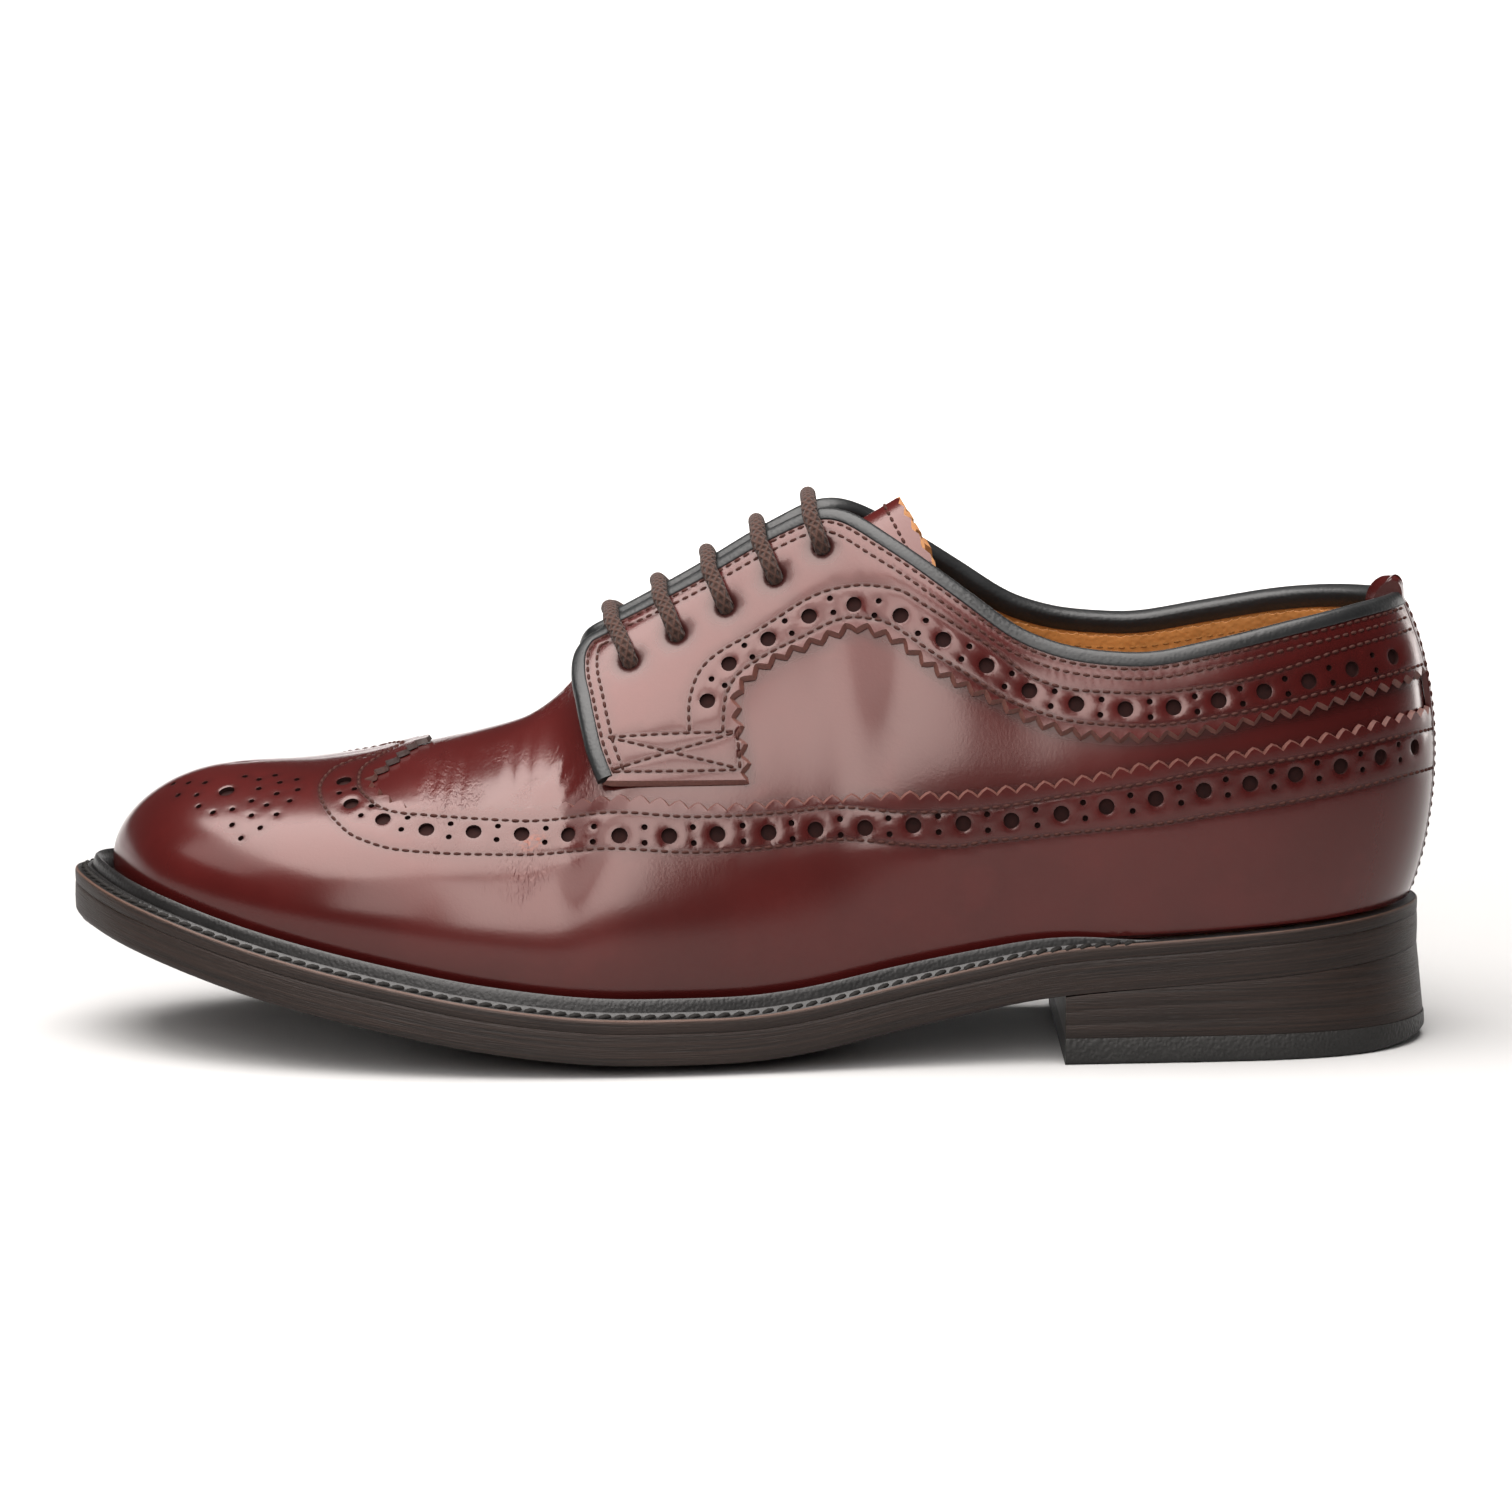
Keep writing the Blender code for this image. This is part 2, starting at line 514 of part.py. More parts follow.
def build_welt(last):
    rings = []
    for place in np.linspace(0, 2, 2 * SOLE_COLUMNS, endpoint=False):
        spot, out = last.at(last.outline, place), last.at(last.out, place)
        margin, share = last.margin(spot[0]), last.bead(spot[0])
        bead = BEAD_HIGH * share
        zone = margin - OVERLAY - 3 * SEAM - WALL_FLARE * share
        profile = (     # distance in from the sole's edge, height above the welt's top
            (0.0, -WELT_THICK), (0.0, 0.0), (0.08 * zone, 0.3), (0.55 * zone, 0.2),
            (0.62 * zone, -0.4 * share), (0.67 * zone, 0.7 * bead), (0.80 * zone, bead),
            (0.93 * zone, 0.7 * bead), (zone, 0.0), (margin + WELT_TUCK, 0.0),
            (margin + WELT_TUCK, -WELT_THICK))
        ring = []
        for inward, height in profile:
            x, y = spot - out * inward
            ring.append((x, y, last.welt_base(x) + WELT_THICK + height))
        rings.append(ring)
    ring_piece("welt", rings, "welt", closed=True)


def build_upper(last):
    half = side_places(last)
    around = np.concatenate((half, 2 - half[-2:0:-1]))
    heights = np.linspace(0, 1, SHELL_ROWS + 1)
    shell("upper", last, around, heights, (-WALL, 0.0), "leather", closed=True)


def build_overlays(last):
    half = side_places(last)
    half = half[half >= STRIP_HALF]
    heights = np.linspace(0, 1, SHELL_ROWS + 1)
    heights[0] = OVERLAY_FOOT
    lifts = (SEAM, SEAM + OVERLAY)
    wing = shell("wing_cap", last, np.concatenate((half, 2 - half[-2::-1])), heights, lifts, "leather")
    keep_inside(wing, np.concatenate((smooth_line(WING_EDGE, 2), WING_REST)), -CUT_SIDE, CUT_SIDE)

    side = half[half < last.throat + FACING_TAIL]
    outline = np.concatenate((smooth_line(COLLAR_EDGE, 2), FACING_FRONT))
    facing = shell("facing_outer", last, side, heights, lifts, "leather", facing=True)
    keep_inside(facing, outline, -CUT_SIDE, -SEAM)
    facing = shell("facing_inner", last, 2 - side[::-1], heights, lifts, "leather", facing=True)
    keep_inside(facing, outline, SEAM, CUT_SIDE)


def build_back_strip(last):
    """A strip up the back seam that rolls over the topline on to the lining."""
    edge = STRIP_HALF - STRIP_PLAY
    climb, turn = np.linspace(OVERLAY_FOOT, 1, SHELL_ROWS + 1), np.array((1.0, 1.0 - STRIP_TURN))
    shoulder = UP * 0.4 * STRIP_CROWN
    rings = []
    for place in np.linspace(-edge, edge, STRIP_COLUMNS + 1):
        outside = [last.lifted(place, h, SEAM + OVERLAY) for h in climb]
        against = [last.lifted(place, h, SEAM) for h in climb[::-1]]
        lining = [last.lifted(place, h, -WALL - 2 * SEAM) for h in turn[::-1]]
        inside = [last.lifted(place, h, -WALL - 2 * SEAM - OVERLAY) for h in turn]
        middle = (outside[-1] + inside[0]) / 2
        over = [outside[-1] * 0.85 + middle * 0.15 + shoulder, middle + UP * STRIP_CROWN,
                inside[0] * 0.85 + middle * 0.15 + shoulder]
        roof = middle + UP * (STRIP_CROWN - 2 * OVERLAY)
        rings.append(outside + over + inside + lining + [roof] + against)
    ring_piece("back_strip", rings, "leather")


def build_binding(last):
    half = side_places(last)
    start, front = STRIP_HALF + 2 * STRIP_PLAY, last.place_of(BINDING_FRONT_X)
    places = np.concatenate(([start], half[(half > start) & (half < front)], [front]))
    thick, high = SEAM + OVERLAY, SEAM + BINDING_HIGH
    profile = (     # up out of the leather, out across it
        (SEAM, -WALL), (SEAM, thick), (0.7 * BINDING_HIGH, thick + BINDING_BULGE), (high, 0.5 * thick),
        (high, -0.5 * WALL), (0.7 * BINDING_HIGH, -WALL - BINDING_BULGE))
    for name, side in (("binding_outer", places), ("binding_inner", 2 - places)):
        rings = []
        for place in side:
            edge, rising, across = last.edge_frame(place)
            rings.append([edge + rising * u + across * w for u, w in profile])
        ring_piece(name, rings, "binding")


def build_tongue(last):
    x, z, half, drop = columns_of(TONGUE)
    ridge, wide, fall = [table_curve(x, column, 4) for column in (z, half, drop)]
    swing = table_curve(*columns_of(RIDGE_SWING), 12)
    across = np.linspace(-1, 1, TONGUE_COLUMNS + 1)[:, None]
    rings = []
    for along in np.linspace(x[0], x[-1], TONGUE_ROWS + 1):
        over = np.array((along, swing(along), ridge(along))) + across * (0.0, wide(along), 0.0)
        over = over - np.abs(across) ** TONGUE_ROUND * fall(along) * TONGUE_UP
        rings.append(np.concatenate((over, (over - TONGUE_THICK * TONGUE_UP)[::-1])))
    ring_piece("tongue", rings, "leather")


def cord_rings(path):
    """Rings of a round lace along a path that runs across the shoe."""
    along = np.gradient(path, axis=0)
    along /= np.linalg.norm(along, axis=1)[:, None]
    across = np.cross(along, (1.0, 0.0, 0.3))
    across /= np.linalg.norm(across, axis=1)[:, None]
    over = np.cross(along, across)
    turn = np.linspace(0, 2 * np.pi, LACE_SIDES, endpoint=False)[:, None]
    return [p + LACE_RADIUS * (np.cos(turn) * a + np.sin(turn) * o) for p, a, o in zip(path, across, over)]


def build_laces(last):
    """Straight bars from eyelet to eyelet over both facings."""
    lift = OVERLAY + 3 * SEAM + LACE_RADIUS
    over_edge = BINDING_HIGH + 3 * SEAM + LACE_RADIUS
    for number, along in enumerate(np.linspace(*EYELET_RUN, EYELETS)):
        sides = []
        for turned in (False, True):
            side = []
            for share in (1.0, 0.5, 0.0):
                place = last.place_of(along + EYELET_LEAN * share)
                place = 2 - place if turned else place
                side.append(last.lifted(place, 1 - EYELET_DROP * share, lift, True))
            edge, rising, across = last.edge_frame(place)
            side.append(edge + across * 0.6 * lift + rising * over_edge)
            sides.append(side)
        path = smooth_line(sides[0] + sides[1][::-1], 2)
        ring_piece(f"lace_bar_{number + 1}", cord_rings(path), "cotton")


def main():
    for old in list(bpy.data.objects):
        bpy.data.objects.remove(old)
    last = Last()
    for build in (build_outsole, build_insole, build_heel, build_welt, build_upper, build_overlays,
                  build_back_strip, build_binding, build_tongue, build_laces):
        build(last)


main()
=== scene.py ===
"""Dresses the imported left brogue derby: punched leather panels, stitching, lacing, welt, sole and stage.

Sizes and tables are in millimetres or the photograph's pixels, and add_mesh turns points into metres. The
settings and the lamps are in metres.
The last is a loop of upright sections, as in the part's source. A chart point is a loop place (0 heel,
0 to 1 the outer side, 1 toe, 1 to 2 the inner side) and a height (0 feather line, 1 ridge or topline).
"""
import math
from types import SimpleNamespace

import bmesh
import bpy
import numpy as np
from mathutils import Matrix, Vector, kdtree
from mathutils.geometry import delaunay_2d_cdt


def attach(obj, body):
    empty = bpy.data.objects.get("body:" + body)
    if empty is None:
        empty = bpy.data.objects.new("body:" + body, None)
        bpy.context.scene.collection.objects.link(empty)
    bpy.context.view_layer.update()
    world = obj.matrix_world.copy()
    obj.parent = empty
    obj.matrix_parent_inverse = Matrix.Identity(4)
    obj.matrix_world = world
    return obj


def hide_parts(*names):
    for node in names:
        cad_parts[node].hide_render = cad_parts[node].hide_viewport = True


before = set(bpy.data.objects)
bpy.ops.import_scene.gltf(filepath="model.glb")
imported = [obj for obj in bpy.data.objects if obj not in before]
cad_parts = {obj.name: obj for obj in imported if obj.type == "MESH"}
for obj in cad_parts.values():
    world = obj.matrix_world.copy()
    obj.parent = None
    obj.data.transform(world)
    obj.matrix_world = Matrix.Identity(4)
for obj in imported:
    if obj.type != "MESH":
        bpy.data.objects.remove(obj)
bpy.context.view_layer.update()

bl_info = {
    "name": "Brogue derby dressing",
    "version": (1, 0, 0),
    "blender": (4, 5, 0),
    "location": "3D View > Sidebar > Derby",
    "description": "Panels, stitching, lacing, welt, sole and stage for the packed brogue derby",
    "category": "Object"}

MM = 0.001
UP = np.array((0.0, 0.0, 1.0))
DENSE = 2400                # samples of a curve along half the loop

# Sizes that the solids share
SOLE_THICK, SOLE_ROUND, SOLE_CURL = 7.2, 1.4, 0.45
WELT_THICK, WELT_TUCK, BEAD_HIGH, WALL_FLARE = 2.9, 5.0, 3.0, 2.0
INSOLE_THICK, INSOLE_PLAY = 3.0, 0.8
BREAST_X, TOP_PIECE = 70.0, 6.0
TOE_TIP, HEEL_END = (-155.2, 5.0), (152.2, 0.0)
SEAM, WALL, OVERLAY, OVERLAY_FOOT = 0.3, 2.2, 1.2, 0.02
STRIP_PLAY, STRIP_CROWN, STRIP_TURN = 0.002, 5.2, 0.07
THROAT_X = -43.0
EYELETS, EYELET_RUN = 5, (-31.0, 13.5)
TONGUE_THICK, TONGUE_ROUND = 2.4, 1.7
TONGUE_UP = np.array((-0.5, 0.0, 0.87))

# Lengths over which curves are rounded: along x in mm, then round the last in loop places
PROFILE_SOFT, EDGE_SOFT, MARGIN_SOFT, BEAD_SOFT, SWING_SOFT = 5, 6, 6, 5, 12
HEEL_SOFT, WEAR_SOFT, TONGUE_SOFT = 4, 1.5, 4
SECTION_SOFT, TOP_X_SOFT, TOP_RISE_SOFT, TOP_GAP_SOFT, TOP_Z_SOFT = 0.03, 0.012, 0.02, 0.006, 0.008
SIDES_BLEND = 0.12          # from toe and heel, where the leans of the two sides run together
ON_TOP = 0.999              # heights above this are on the topline

# Back strip: half width in loop places at its foot, its gain above, the height where that starts and its run
STRIP_FOOT, STRIP_GAIN, STRIP_FROM, STRIP_RUN = 0.011, 0.021, 0.45, 0.5

# Back strip in loop places: half width where it is turned in, its sewn rows' distance in from its edge
STRIP_INSIDE, STRIP_ROW = 0.052, 0.005

# Points: mm apart inside a panel and along a traced line, then how many to a row, to a tooth and round a hole
PANEL_STEP, LINE_STEP, LINE_ROUND, TOOTH_STEPS, RING_SIDES = 1.9, 0.5, 16, 8, 14

# Panels: groove along a sewn row, lip of a hole with its depth as a share of the radius, dent at an eyelet
GROOVE_DEEP, GROOVE_WIDE, GROOVE_ASIDE, GROOVE_STEP = 0.17, 0.7, 0.75, 0.9
LIP_DEEP, LIP_WIDE, LIP_RINGS = 0.11, 0.22, ((1.0, 0.28), (1.25, 0.5))
DENT_DEEP, DENT_WIDE = 0.60, 3.1
WING_BEVEL, FACING_BEVEL = 0.45, 0.9
WING_PINS, COLLAR_PINS = 1.75, 1.7          # small holes either side of their band's middle
WING_PEAK_X = -73.5
BINDING_OUT = 2.3                           # bound edge past the facing's leather
BOUND_ROWS = (1.7, 3.9)                     # sewn rows inside the bound edge
DARK_EDGE_FROM, DARK_EDGE_RUN = 0.7, 0.12               # darker cut edge of the wing towards its peak: height where it starts, its run
BEVEL_TOP, LINING_TOP = 0.985, 0.985        # heights where the wing's bevel and the lining end

# Darkening: burnish and painted shade along sewn rows and round hole lips, painted shade round eyelets and
# along the edges of overlaid panels: amount, width in mm
ROW_BURNISH_AND_SHADE, HOLE_BURNISH_AND_SHADE, EYELET_SHADE, EDGE_SHADE = (0.95, 0.65), (0.35, 0.9), (0.95, 2.7), (0.75, 1.6)

# Stitches: length on panels, back strip, topband and welt, depth in a panel's face
STITCH_LONG, STRIP_STITCH, BAND_STITCH, WELT_STITCH, STITCH_SUNK = 1.9, 1.75, 1.9, 3.3, 0.10
BAND_PITCH, BAND_THREAD = 2.6, 0.26
WELT_THREAD, WELT_LEAN, WELT_LAST_X = 0.62, 0.32, 86.0

# Welt: height that the scene's bead has over the solid's, place of the stitching's channel across it
BEAD_MORE, CHANNEL = 1.1, 0.31

# Sole outline from above: x, outer half width, inner half width
SOLE_OUTLINE = (
    (143.0, 20.0, 20.0), (126.0, 30.0, 30.0), (100.0, 35.0, 34.0), (75.0, 37.5, 33.5),
    (48.0, 40.5, 33.0), (20.0, 45.5, 36.0), (-8.0, 50.8, 43.0), (-35.0, 54.0, 50.5),
    (-60.0, 54.4, 54.4), (-85.0, 51.5, 53.5), (-108.0, 45.0, 48.0), (-128.0, 35.2, 40.2),
    (-143.0, 22.2, 29.4), (-151.4, 8.4, 17.8))

# Sole along its length: x, underside at the middle, rise of the underside at its edge
SOLE_PROFILE = (
    (-156.0, 26.4, 1.5), (-140.0, 22.2, 1.8), (-110.0, 14.0, 2.0), (-80.0, 7.4, 2.2), (-57.0, 3.0, 2.4),
    (-30.0, 0.1, 2.5), (-26.0, 0.0, 2.5), (-4.0, 0.0, 2.5), (8.0, 1.1, 2.4), (33.0, 6.6, 2.0),
    (52.0, 11.2, 1.2), (68.0, 15.2, 0.3), (102.0, 17.8, 0.0), (125.0, 19.4, 0.0), (154.0, 22.0, 0.0))

# Heel: x, outset of the heel's foot, rise of its worn underside
HEEL = ((60.0, 0.4, 0.0), (100.0, 0.6, 0.0), (136.0, 1.6, 0.0), (146.0, 2.0, 0.8), (158.0, 2.2, 3.2))

# Welt: x, sole edge to feather line, share of the bead's height
WELT = (
    (-156.0, 10.8, 1.0), (-138.0, 10.0, 1.0), (-110.0, 9.6, 1.0), (-20.0, 9.4, 1.0), (20.0, 8.6, 1.0),
    (50.0, 7.4, 0.9), (72.0, 6.0, 0.6), (92.0, 4.8, 0.0), (120.0, 4.2, 0.0), (152.0, 4.0, 0.0))

# Sections: feather line x, wall lean on the outer and inner side, wall reach, shoulder reach, shoulder drop
SECTIONS = (
    (147.0, 8.0, 8.0, 19.0, 9.9, 17.0), (133.0, 7.0, 7.0, 19.0, 8.4, 18.0),
    (110.0, 5.0, 5.0, 20.0, 6.5, 18.0), (82.0, 5.0, 5.0, 22.0, 7.5, 18.0),
    (50.0, 7.0, 5.0, 26.0, 12.0, 22.0), (15.0, 9.5, 7.0, 28.0, 15.0, 14.0),
    (-12.0, 11.5, 9.5, 29.0, 17.0, 12.5), (-38.0, 11.5, 11.0, 28.0, 22.0, 8.0),
    (-62.0, 11.5, 11.5, 26.5, 25.0, 2.0), (-88.0, 10.5, 11.0, 23.0, 24.0, 0.0),
    (-112.0, 8.5, 9.0, 19.0, 20.0, 0.0), (-133.0, 6.0, 6.5, 15.0, 17.0, 0.0),
    (-144.0, 3.0, 3.0, 12.5, 14.5, 0.0))

# Tops of sections: feather line x, top x, half gap, z, rise on the inner side, facing's half gap and z
TOP_LINE = (
    (147.0, 147.3, 0.0, 99.8, 0.0, 0.0, 99.8), (138.0, 138.0, 14.0, 98.8, 0.6, 14.0, 98.8),
    (124.0, 123.0, 23.5, 96.3, 1.4, 23.5, 96.3), (104.0, 104.0, 27.3, 92.1, 2.0, 27.3, 92.1),
    (84.0, 86.0, 28.2, 89.0, 2.4, 28.2, 89.0), (72.0, 74.0, 27.6, 89.8, 2.4, 27.6, 89.8),
    (59.0, 61.0, 25.8, 93.4, 2.0, 25.8, 93.4), (44.0, 46.0, 22.5, 103.4, 1.4, 22.5, 103.4),
    (31.0, 32.0, 17.5, 112.8, 0.8, 17.5, 112.8), (17.0, 17.5, 9.5, 119.8, 0.4, 9.5, 119.8),
    (6.0, 6.0, 8.0, 115.2, 0.0, 8.0, 115.2), (-12.0, -12.0, 7.5, 104.6, 0.0, 7.5, 104.6),
    (-29.0, -29.0, 6.8, 94.6, 0.0, 7.0, 95.4), (-36.0, -36.0, 4.8, 87.2, 0.0, 7.0, 91.8),
    (-43.0, -43.0, 0.0, 78.4, 0.0, 7.0, 88.2), (-50.0, -51.0, 0.0, 73.9, 0.0, 7.0, 84.0),
    (-62.0, -62.0, 0.0, 70.1, 0.0, 7.0, 78.0), (-76.0, -74.0, 0.0, 66.9, 0.0, 7.0, 71.0),
    (-92.0, -88.0, 0.0, 63.2, 0.0, 7.0, 66.0), (-112.0, -101.0, 0.0, 61.4, 0.0, 7.0, 62.0),
    (-133.0, -112.0, 0.0, 60.8, 0.0, 7.0, 60.8), (-144.0, -117.0, 0.0, 60.3, 0.0, 7.0, 60.3))

# Topband of the lining: its cut edge below the topline, its thickness, x of its front end
TOPBAND_DROP, TOPBAND_THICK, TOPBAND_X = 2.6, 0.65, 30.0

# Topband below its cut edge: rows of points, seams
TOPBAND_ROWS, TOPBAND_SEAMS = (0.8, 2.0, 4.0, 7.0, 11.0, 16.0, 21.0), (3.0, 4.6)

# Distance from the ridge over which the vamp is rounded, and run from the throat over which that starts
RIDGE_ROUND, RIDGE_START = 8.0, 8.0

# Swing of the ridge towards the inner side: x, y
RIDGE_SWING = ((150.0, 0.0), (60.0, 0.0), (0.0, 0.5), (-60.0, 2.0), (-118.0, 4.5))

# Tongue: x, z of its ridge, half width, drop of its sides square to the ridge
TONGUE = (
    (-56.0, 65.5, 13.0, 4.0), (-44.0, 72.0, 14.5, 6.5), (-34.0, 79.8, 16.0, 9.0), (-20.0, 89.8, 17.0, 11.5),
    (0.0, 103.0, 18.0, 14.5), (16.0, 113.0, 17.0, 15.5), (26.0, 119.0, 16.5, 16.0), (33.5, 123.5, 16.0, 16.0))

# The photograph's view: pixels a side, lens and sensor, tilt, distance and aim
PHOTO, LENS, SENSOR = 1512, 132.6, 36.0
VIEW_TILT, VIEW_FAR, VIEW_AIM = math.radians(8.5), 1270.0, np.array((1.0, 0.0, 64.0))

# Places and heights of the grid on which the photograph's pixels are looked up
PHOTO_GRID = 401, 121

# Lines and holes on the outer side in the photograph's pixels, most from the back strip forwards: x, y
WING_EDGE = (
    (1431, 711), (1400, 722), (1360, 733), (1310, 745), (1250, 757), (1200, 765), (1145, 771), (1100, 781),
    (1020, 793), (957, 800), (920, 800), (850, 803), (800, 806), (700, 812), (560, 813), (460, 815),
    (420, 815), (400, 811), (385, 805), (372, 795), (365, 785), (380, 772), (400, 757), (412, 748))
WING_INNER_ROW = (
    (1430, 727), (1400, 735), (1300, 757), (1180, 776), (1068, 795), (900, 812), (700, 818), (560, 822),
    (440, 820), (400, 817), (380, 811), (370, 803), (362, 795), (360, 783), (365, 772), (380, 762),
    (408, 747))
WING_OUTER_ROW = (
    (1431, 766), (1400, 775), (1300, 799), (1200, 816), (1100, 829), (1000, 839), (920, 845), (700, 853),
    (560, 855), (440, 856), (400, 853), (380, 849), (360, 842), (350, 837), (340, 828), (330, 817),
    (323, 805), (321, 792), (328, 780), (340, 771), (360, 764), (385, 757))
WING_HOLES = (
    (1410, 747), (1377, 757), (1338, 766), (1294, 774), (1249, 783), (1203, 790), (1155, 798), (1106, 806),
    (1061, 813), (1011, 820), (963, 823), (913, 825), (865, 828), (815, 830), (768, 833), (717, 835),
    (669, 837), (620, 837), (570, 837), (522, 837), (474, 835), (427, 833), (384, 823), (352, 808),
    (345, 786))
MEDALLION = (
    (201, 811), (215, 817), (234, 814), (234, 829), (253, 806), (253, 820), (243, 842), (262, 832),
    (268, 810), (278, 819), (291, 806), (299, 795), (278, 799), (281, 788), (298, 785), (260, 794),
    (260, 785), (246, 782), (276, 781), (207, 788), (199, 800), (191, 788), (181, 800), (176, 789))
MEDALLION_LARGE = ((228, 796),)
COLLAR_EDGE = (
    (1419, 673), (1381, 690), (1344, 701), (1307, 712), (1266, 719), (1225, 729), (1180, 736), (1130, 740),
    (1091, 738), (1057, 731), (1026, 720), (996, 704), (963, 688), (931, 669), (900, 645), (880, 636),
    (856, 630), (840, 635), (820, 643), (800, 651), (780, 660), (760, 672), (745, 686), (738, 700),
    (741, 730), (747, 760), (748, 781))
COLLAR_UPPER_ROW = (
    (1411, 626), (1366, 643), (1329, 654), (1292, 667), (1255, 678), (1217, 686), (1180, 691), (1143, 694),
    (1106, 693), (1068, 690), (1031, 678), (994, 652), (957, 628), (920, 604), (900, 592), (865, 587),
    (840, 590), (800, 606), (760, 632), (720, 655), (700, 675), (690, 705), (690, 735))
COLLAR_LOWER_ROW = (
    (1418, 664), (1400, 671), (1329, 691), (1255, 710), (1180, 723), (1106, 725), (1068, 721), (1031, 710),
    (994, 693), (957, 669), (930, 652), (890, 625), (870, 620), (840, 621), (810, 635), (770, 655),
    (740, 675), (730, 690), (725, 705), (723, 735))
COLLAR_HOLES = (
    (1389, 658), (1349, 670), (1307, 682), (1263, 692), (1218, 701), (1173, 708), (1125, 710), (1076, 705),
    (1029, 692), (986, 667), (943, 641), (901, 617), (855, 606), (810, 618), (769, 641), (730, 666),
    (708, 703))
TAB_FOOT = ((748, 781), (700, 782), (650, 783), (601, 783))
FACING_FRONT = (
    (598, 783), (592, 768), (586, 750), (580, 722), (576, 700), (573, 685), (573, 668), (577, 655),
    (589, 641), (611, 626))
TAB_ROWS = (
    ((607, 740), (670, 736), (735, 733)), ((612, 774), (670, 773), (738, 771)),
    ((607, 740), (670, 754), (735, 769)), ((612, 772), (670, 754), (735, 734)),
    ((737, 733), (739, 752), (740, 771)))
EYELET_HOLES = ((631, 664), (678, 637), (727, 609), (776, 579), (823, 549))

# Creases on the outer side in pixels: depth, half width in mm, then the line
CREASES = (
    (0.30, 1.3, ((444, 742), (436, 770), (431, 800), (436, 835), (446, 878))),
    (0.22, 1.0, ((456, 742), (448, 775), (442, 805), (448, 840), (460, 880))),
    (0.18, 0.9, ((468, 745), (462, 775), (458, 800), (460, 830), (468, 862))),
    (0.26, 1.2, ((520, 728), (512, 765), (512, 800), (520, 840), (530, 884))),
    (0.24, 1.1, ((534, 722), (526, 762), (526, 800), (533, 838), (546, 878))),
    (0.20, 1.0, ((575, 745), (562, 768), (552, 796), (548, 815))),
    (0.22, 1.0, ((584, 762), (572, 780), (560, 802), (556, 818))),
    (0.20, 1.0, ((592, 786), (580, 796), (570, 810), (566, 820))),
    (0.30, 7.0, ((470, 738), (476, 775), (482, 806))),
    (0.25, 6.0, ((555, 705), (545, 745), (535, 786))))

# Scuffs on the wing in pixels: width in mm, spot
SCUFFS = ((1.9, (530, 846)), (1.2, (541, 843)))


def columns_of(table):
    return [np.array(column, float) for column in zip(*table)]


def table_curve(at, value, soften, even=False):
    """A curve through a table's rows that does not overshoot, rounded over the length soften."""
    order = np.argsort(at)
    at, value = np.asarray(at, float)[order], np.asarray(value, float)[order]
    step, slope = np.diff(at), np.diff(value) / np.diff(at)
    rising = slope[:-1] * slope[1:] > 0
    before, after = np.where(rising, slope[:-1], 1.0), np.where(rising, slope[1:], 1.0)
    near, far = 2 * step[1:] + step[:-1], step[1:] + 2 * step[:-1]
    tangent = np.zeros(len(at))
    tangent[1:-1] = np.where(rising, (near + far) / (near / before + far / after), 0.0)
    if not even:
        tangent[0], tangent[-1] = slope[0], slope[-1]
    dense = np.linspace(at[0], at[-1], DENSE)
    k = np.clip(np.searchsorted(at, dense) - 1, 0, len(at) - 2)
    t = (dense - at[k]) / step[k]
    curve = ((1 + 2 * t) * (1 - t) ** 2 * value[k] + t * (1 - t) ** 2 * step[k] * tangent[k]
             + t * t * (3 - 2 * t) * value[k + 1] + t * t * (t - 1) * step[k] * tangent[k + 1])
    reach = max(1, int(3 * soften / (dense[1] - dense[0])))
    kernel = np.exp(-0.5 * (np.arange(-reach, reach + 1) * 3.0 / reach) ** 2)
    head, tail = curve[reach:0:-1], curve[-2:-reach - 2:-1]
    if not even:
        head, tail = 2 * curve[0] - head, 2 * curve[-1] - tail
    curve = np.convolve(np.concatenate((head, curve, tail)), kernel / kernel.sum(), "valid")
    return lambda x: np.interp(x, dense, curve)


def loop_spline(knots, points, at):
    """A closed curve of period 2 with even curvature through points at knots."""
    count = len(knots)
    step = np.diff(np.append(knots, knots[0] + 2))
    slope = (np.roll(points, -1, axis=0) - points) / step[:, None]
    matrix = np.zeros((count, count))
    for i in range(count):
        matrix[i, i - 1] += step[i - 1]
        matrix[i, i] += 2 * (step[i - 1] + step[i])
        matrix[i, (i + 1) % count] += step[i]
    bend = np.linalg.solve(matrix, 6 * (slope - np.roll(slope, 1, axis=0)))
    k = np.searchsorted(knots, at, side="right") - 1
    after = (k + 1) % count
    h = step[k][:, None]
    a = (at - knots[k])[:, None]
    b = h - a
    return (bend[k] * b ** 3 / (6 * h) + bend[after] * a ** 3 / (6 * h)
            + (points[k] / h - bend[k] * h / 6) * b + (points[after] / h - bend[after] * h / 6) * a)


def smooth_line(rows, steps):
    """Points along a rounded line through a table's rows."""
    rows = np.asarray(rows, float)
    padded = np.concatenate((2 * rows[:1] - rows[1:2], rows, 2 * rows[-1:] - rows[-2:-1]))
    line = []
    for a, b, c, d in zip(padded, padded[1:], padded[2:], padded[3:]):
        for t in np.arange(steps) / steps:
            curl = (2 * a - 5 * b + 4 * c - d) * t ** 2 + (3 * b - a - 3 * c + d) * t ** 3
            line.append(b + 0.5 * ((c - a) * t + curl))
    return np.array(line + [rows[-1]])


def unit(vectors):
    return vectors / np.maximum(np.linalg.norm(vectors, axis=-1, keepdims=True), 1e-9)


def bell(far, wide):
    """1 at no distance, falling away over a width."""
    return np.exp(-(far / wide) ** 2)


def eased(share, size=1.0):
    """From 0 to size as share runs from 0 to 1, level at both ends."""
    return size * share ** 2 * (3 - 2 * share)


def run_length(points):
    """Distance along a line at each of its points."""
    return np.insert(np.cumsum(np.linalg.norm(np.diff(points, axis=0), axis=1)), 0, 0.0)


def at_lengths(at, length, line):
    """Points of a line at these distances along it."""
    return np.column_stack([np.interp(at, length, column) for column in line.T])


